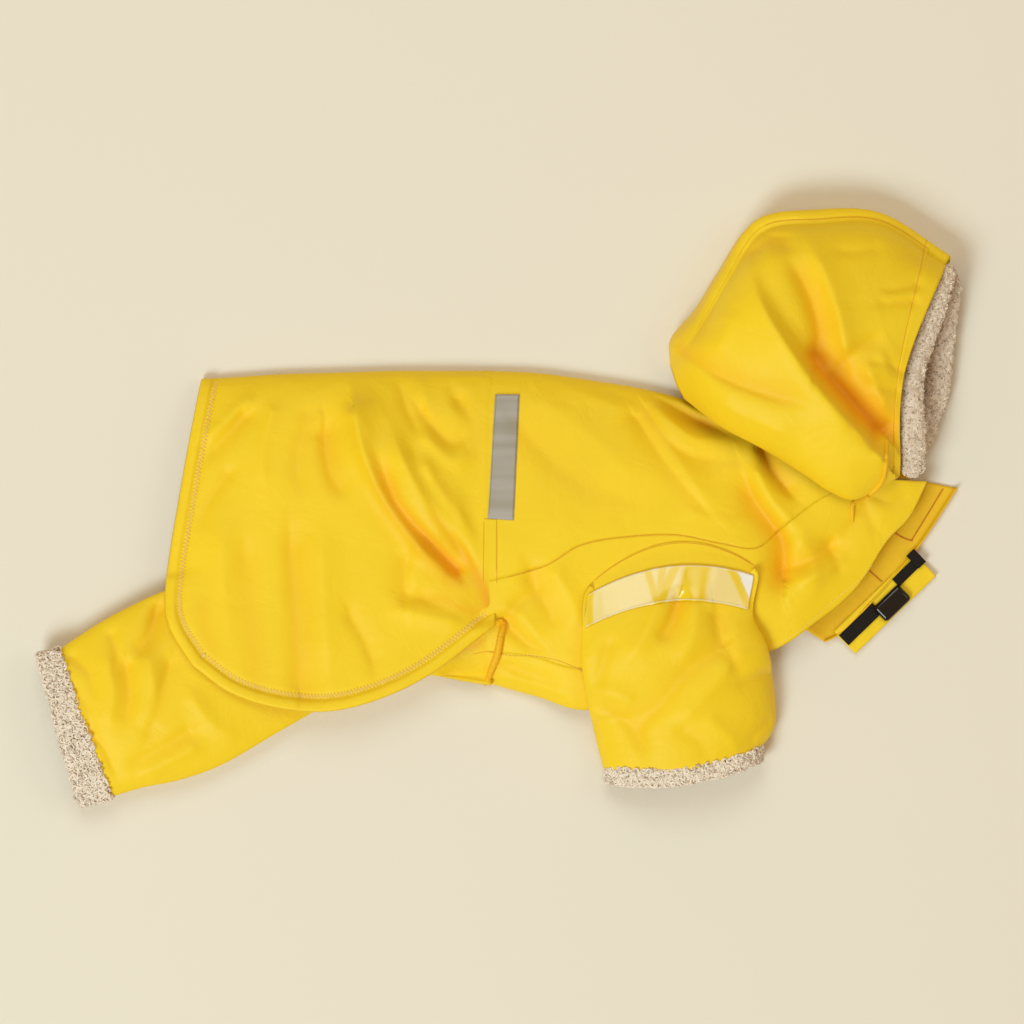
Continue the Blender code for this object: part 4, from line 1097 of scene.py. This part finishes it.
strap_points = belt_grid(STRAP_SPAN, STRAP_THICK, 60, 18, 0.25)
strap = shell("belt_strap_cloth", strap_points, np.zeros(strap_points.shape[:2]), nylon("belt_strap_nylon"),
              wall=1.2)
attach(strap, "root")
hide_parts("belt_strap")
for name, span in WEBBING_SPANS.items():
    points = belt_grid(span, STRAP_THICK + WEBBING_THICK + 0.3, 30, 8, 0.2)
    webbing = shell(name + "_tape", points, np.zeros(points.shape[:2]), webbing_material(name + "_weave"),
                    wall=1.1)
    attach(webbing, "root")
    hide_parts(name)
points = belt_grid(LOOP_SPAN, STRAP_THICK + WEBBING_THICK + 1.1, 8, 10, 0.3)
loop = shell("belt_loop_tape", points, np.zeros(points.shape[:2]), webbing_material("belt_loop_weave"),
             wall=1.4)
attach(loop, "root")
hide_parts("belt_loop")
gloss = bpy.data.materials.new("black_gloss_plastic")
gloss.use_nodes = True
shader = gloss.node_tree.nodes["Principled BSDF"]
shader.inputs["Base Color"].default_value = (0.008, 0.006, 0.005, 1)
shader.inputs["Roughness"].default_value = 0.07


def rounded_block(name, span, bottom, high, bevel, material):
    """A block with rounded edges."""
    start, end, inner, outer = span
    bpy.ops.mesh.primitive_cube_add(size=1.0)
    block = bpy.context.object
    block.name = block.data.name = name
    block.data.transform(Matrix.Diagonal(((end - start) * MM, (outer - inner) * MM, high * MM, 1)))
    edge = block.modifiers.new("edge", "BEVEL")
    edge.width = bevel * MM
    edge.segments = 6
    block.data.transform(Matrix.Rotation(BELT_ANGLE, 4, "Z"))
    along = Vector((math.cos(BELT_ANGLE), math.sin(BELT_ANGLE), 0))
    across = Vector((along.y, -along.x, 0))
    middle = Vector((*BELT_START, bottom + high / 2))
    middle += along * (start + end) / 2 + across * (inner + outer) / 2
    block.data.transform(Matrix.Translation(middle * MM))
    block.data.shade_smooth()
    block.data.materials.append(material)
    return block


buckle = rounded_block("buckle_body", BUCKLE_SPAN, STRAP_THICK + 0.4, BUCKLE_HIGH, 2.6, gloss)
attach(buckle, "root")
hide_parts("buckle")

# Seams and stitching. Sewn seams are fine sunk cords; topstitches are single threads laid along them.
THREAD_PALE = (0.950, 0.740, 0.300, 1.0)
# Orange thread: painted shade in the coverstitch's stitch holes and in the grooves of the sewn seams.
THREAD_SHADE_ORANGE = (0.820, 0.420, 0.020, 1.0)
THREAD_WHITE = (0.930, 0.880, 0.740, 1.0)
THREAD_DEEP = (0.640, 0.230, 0.010, 1.0)
THREAD_GREY = (0.130, 0.110, 0.090, 1.0)
STITCH_ROUND = 4

ZIGZAG_PITCH, ZIGZAG_INNER, ZIGZAG_OUTER, THREAD_LIFT = 1.15, 3.8, 0.7, 0.12


def thread_material(name, colour):
    """Spun thread."""
    material = bpy.data.materials.new(name)
    material.use_nodes = True
    shader = material.node_tree.nodes["Principled BSDF"]
    shader.inputs["Base Color"].default_value = colour
    shader.inputs["Roughness"].default_value = 0.7
    return material


def threads(name, starts, ends, thick, material):
    """Stitches from starts to ends, in millimetres, each a slim spindle."""
    starts, ends = np.asarray(starts, float), np.asarray(ends, float)
    heading = ends - starts
    heading /= np.linalg.norm(heading, axis=1)[:, None]
    across = np.cross(heading, (0, 0, 1))
    across /= np.linalg.norm(across, axis=1)[:, None]
    up = np.cross(across, heading)
    rings = []
    for share, size in ((0.0, 0.25), (0.25, 0.9), (0.75, 0.9), (1.0, 0.25)):
        middle = starts + (ends - starts) * share
        for turn in np.arange(STITCH_ROUND) * 2 * np.pi / STITCH_ROUND + np.pi / 4:
            rings.append(middle + (across * math.cos(turn) + up * math.sin(turn)) * thick * size)
    points = np.stack(rings, axis=1)
    base = np.arange(len(starts))[:, None, None] * points.shape[1]
    corners = [(4 * r, j, (j + 1) % 4) for r in range(3) for j in range(4)]
    quads = [(r + j, r + k, r + 4 + k, r + 4 + j) for r, j, k in corners]
    quads += [(3, 2, 1, 0), (12, 13, 14, 15)]
    faces = (base + np.array(quads)[None]).reshape(-1, 4)
    mesh = bpy.data.meshes.new(name)
    mesh.from_pydata((points.reshape(-1, 3) * MM).tolist(), [], faces.tolist())
    mesh.shade_smooth()
    piece = bpy.data.objects.new(name, mesh)
    bpy.context.scene.collection.objects.link(piece)
    mesh.materials.append(material)
    return piece


def walk(places, pitch):
    """Places at an even pitch along a smooth line in plan, and the line's left-hand side there."""
    line = rows_at(places, np.linspace(0, len(places) - 1, 24 * len(places)))[:, :2]
    run = np.concatenate([[0], np.cumsum(np.hypot(*np.diff(line, axis=0).T))])
    marks = np.arange(0, run[-1], pitch)
    x, y = np.interp(marks, run, line[:, 0]), np.interp(marks, run, line[:, 1])
    spots = np.column_stack([x, y])
    heading = np.gradient(spots, axis=0)
    heading /= np.linalg.norm(heading, axis=1)[:, None]
    return spots, np.column_stack([-heading[:, 1], heading[:, 0]])


def on_coat(spots, over, lift):
    """Places in plan, lifted onto the coat."""
    return np.column_stack([spots, over(spots[:, 0], spots[:, 1]) + lift])


def topstitch(name, lines, over, pitch, thick, material, gap=0.35):
    """Single stitches along lines in plan."""
    starts, ends = [], []
    for places in lines:
        spots, _ = walk(places, pitch)
        raised = on_coat(spots, over, thick * 0.5)
        starts.append(raised[:-1])
        ends.append(raised[:-1] + (raised[1:] - raised[:-1]) * (1 - gap))
    return threads(name, np.concatenate(starts), np.concatenate(ends), thick, material)


def seam_cords(name, lines, over, radius, material, sink=0.75):
    """Fine sunk cords along lines in plan, as one mesh."""
    made = []
    for places in lines:
        with_radius = [(x, y, radius) for x, y in places]
        made.append(cord_along(name, with_radius, over, material, 6, max(60, 3 * len(places)), 0.0, sink))
    for other in made[1:]:
        other.select_set(True)
    made[0].select_set(True)
    bpy.context.view_layer.objects.active = made[0]
    if len(made) > 1:
        with bpy.context.temp_override(active_object=made[0], selected_editable_objects=made):
            bpy.ops.object.join()
    made[0].name = name
    return made[0]


pale, shade_orange_thread, grey_thread = (thread_material(n, c) for n, c in (
    ("thread_pale", THREAD_PALE), ("thread_shade_orange", THREAD_SHADE_ORANGE), ("thread_grey", THREAD_GREY)))
top_tree = tree_of(back_panel, side_right, belly, cape_cloth, sleeve_right, hood_right, hood_strip, hood_hem,
                   leg_right, casing, tape, underlap, strap, band)
over_all = resting_on(top_tree, clear=0.0, reach=0.01)
hem_spots, hem_side = walk(HEM_LINE, ZIGZAG_PITCH)
inner_edge = on_coat(hem_spots + hem_side * (HEM_WIDE + ZIGZAG_INNER), over_all, THREAD_LIFT)
outer_edge = on_coat(hem_spots + hem_side * (HEM_WIDE + ZIGZAG_OUTER), over_all, THREAD_LIFT)
zig_starts, zig_ends = inner_edge[:-1].copy(), outer_edge[1:].copy()
zig_starts[1::2] = outer_edge[1:-1:2][:len(zig_starts[1::2])]
zig_ends[1::2] = inner_edge[2::2][:len(zig_ends[1::2])]
zigzag = threads("cape_coverstitch", zig_starts, zig_ends, 0.20, pale)
edge_starts = np.concatenate([inner_edge[:-1:2], outer_edge[1:-1:2]])
edge_ends = np.concatenate([inner_edge[:-1:2] * 0.5 + inner_edge[1::2] * 0.5,
                            outer_edge[1:-1:2] * 0.5 + outer_edge[2::2] * 0.5])
# The coverstitch's edge stitches are orange: painted shade of its stitch holes.
edges = threads("cape_coverstitch_edges", edge_starts, edge_ends, 0.24, shade_orange_thread)
BELLY_SEAM = ((-16, -90), (-6, -88.5), (8, -91), (21, -91), (37, -94), (52, -100))
CASING_LINES = (((-9, -8), (-9.4, -45)), ((-1, -8), (-1, -45.5)))
OVERLAP = ((267, 19), (261.5, 12), (261.5, 4), (252.5, -6), (244.6, -14), (238.6, -19), (236, -28.5),
           (228, -39.5), (220, -47.5), (207, -57.5), (194, -69.5), (173, -84.5), (166, -87.5))


def line_on(lay, s, t):
    """Places in plan along a lay, for a run of s or t."""
    s, t = np.broadcast_arrays(np.asarray(s, float), np.asarray(t, float))
    return list(zip(*lay.plan(s, t)[:2]))


yoke = line_on(body, np.linspace(0.40, 6.2, 40), 1.0)
armhole_seam = line_on(right_sleeve, 5.93, np.linspace(0.03, 0.97, 30))
hood_hem_seam = line_on(hood, 6.66, np.linspace(0.4, 2.9, 40))
crown_seam_line = line_on(hood, np.linspace(4.1, 6.7, 30), 0.93)
UNDERLAP_SEAMS = (((277, 12.5), (267, -4), (257.5, -19.5)), ((247, -15), (252, -18), (258, -20)),
                  ((231, -38.5), (235, -42), (239, -45.5)))
body_lines = (yoke, armhole_seam, BELLY_SEAM, *CASING_LINES)
body_seams = seam_cords("body_seams", body_lines, over_all, 0.22, shade_orange_thread)
deep_thread = thread_material("thread_deep", THREAD_DEEP)
underlap_seams = seam_cords("underlap_seams", UNDERLAP_SEAMS, over_all, 0.42, deep_thread, -2.2)
hood_seams = seam_cords("hood_seams", (hood_hem_seam, crown_seam_line), over_all, 0.22, shade_orange_thread)
white_thread = thread_material("thread_white", THREAD_WHITE)
band_edges = [line_on(right_sleeve, place, np.linspace(0.03, 0.965, 40)) for place in (4.09, 4.91)]
band_lines = topstitch("band_topstitch", band_edges, over_all, 1.5, 0.34, white_thread, 0.15)
NECK_SEAM = ((239, 42, 0.9), (238, 30, 1.5), (236, 17, 1.7), (229, 9, 1.6), (220, 4, 1.5), (219, -2, 1.2),
             (219.5, -8, 0.6))
# The neck seam's cloth is orange: painted shade in the gathered seam.
neck_shaded_nylon = nylon("neck_seam_shaded_nylon", (0.94, 0.56, 0.01, 1.0))
neck_seam = cord_along("neck_seam_cord", NECK_SEAM, over_all, neck_shaded_nylon, 12, 80, 0.06, 0.35)
pale_lines = topstitch("pale_topstitch", (OVERLAP, BELLY_SEAM), over_all, 2.4, 0.22, pale)
tape_edge_a = ((-1.2, 70), (-5.8, -5.4))
tape_edge_b = ((12.2, 70), (8.7, -6.4))
tape_lines = topstitch("tape_topstitch", (tape_edge_a, tape_edge_b), over_all, 1.9, 0.16, grey_thread, 0.45)
for piece in (zigzag, edges, body_seams, hood_seams, neck_seam, pale_lines, tape_lines, band_lines,
              underlap_seams):
    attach(piece, "root")

# Camera: straight above, with a long lens.
LENS, SENSOR, VIEW_WIDE, AIM_HEIGHT = 180.0, 36.0, 634.9, 18.0
CAMERA_PLACE = (8.4, -1.9)
camera = bpy.data.objects.new("camera", bpy.data.cameras.new("camera"))
bpy.context.scene.collection.objects.link(camera)
bpy.context.scene.camera = camera
camera.data.lens = LENS
camera.data.sensor_width = SENSOR
camera.location = Vector((*CAMERA_PLACE, AIM_HEIGHT + VIEW_WIDE * LENS / SENSOR)) * MM
camera.data.clip_start, camera.data.clip_end = 0.1, 20.0

# Floor: a wide sheet of matt warm white paper, a hair under the coat.
FLOOR_HALF, FLOOR_HEIGHT = 3.0, -0.0004
PAPER = (0.842, 0.780, 0.650, 1)
floor_mesh = bpy.data.meshes.new("floor")
floor_corners = [(x * FLOOR_HALF, y * FLOOR_HALF, FLOOR_HEIGHT)
                 for x, y in ((-1, -1), (1, -1), (1, 1), (-1, 1))]
floor_mesh.from_pydata(floor_corners, [], [(0, 1, 2, 3)])
floor = bpy.data.objects.new("floor", floor_mesh)
bpy.context.scene.collection.objects.link(floor)
paper = bpy.data.materials.new("paper")
paper.use_nodes = True
paper.node_tree.nodes["Principled BSDF"].inputs["Base Color"].default_value = PAPER
paper.node_tree.nodes["Principled BSDF"].inputs["Roughness"].default_value = 0.85
floor_mesh.materials.append(paper)

# Light: a warm room and three cooler softboxes. The key stands past the tail on the belly side, about
# 50 degrees up, so that the folds show.
ROOM_WARM, ROOM_STRENGTH = (1.0, 0.69, 0.38, 1), 0.44
COOL = (0.77, 0.94, 1.03)
world = bpy.data.worlds.new("room")
bpy.context.scene.world = world
world.use_nodes = True
world.node_tree.nodes["Background"].inputs["Color"].default_value = ROOM_WARM
world.node_tree.nodes["Background"].inputs["Strength"].default_value = ROOM_STRENGTH


def softbox(name, place, aim, size, power, colour=(1, 1, 1)):
    """A square area light aimed at a point."""
    light = bpy.data.lights.new(name, "AREA")
    light.size = size
    light.energy = power
    light.color = colour
    lamp = bpy.data.objects.new(name, light)
    bpy.context.scene.collection.objects.link(lamp)
    lamp.location = place
    lamp.rotation_euler = (Vector(aim) - Vector(place)).to_track_quat("-Z", "Y").to_euler()
    return lamp


softbox("key", (-1.6, -2.2, 3.2), (0, 0, 0), 1.7, 104, COOL)
softbox("top", (-0.2, 1.1, 2.0), (0, 0, 0), 1.2, 12, COOL)
softbox("side", (1.5, 0.3, 1.7), (0, 0, 0), 0.9, 4, COOL)
bpy.context.scene.view_settings.view_transform = "Standard"
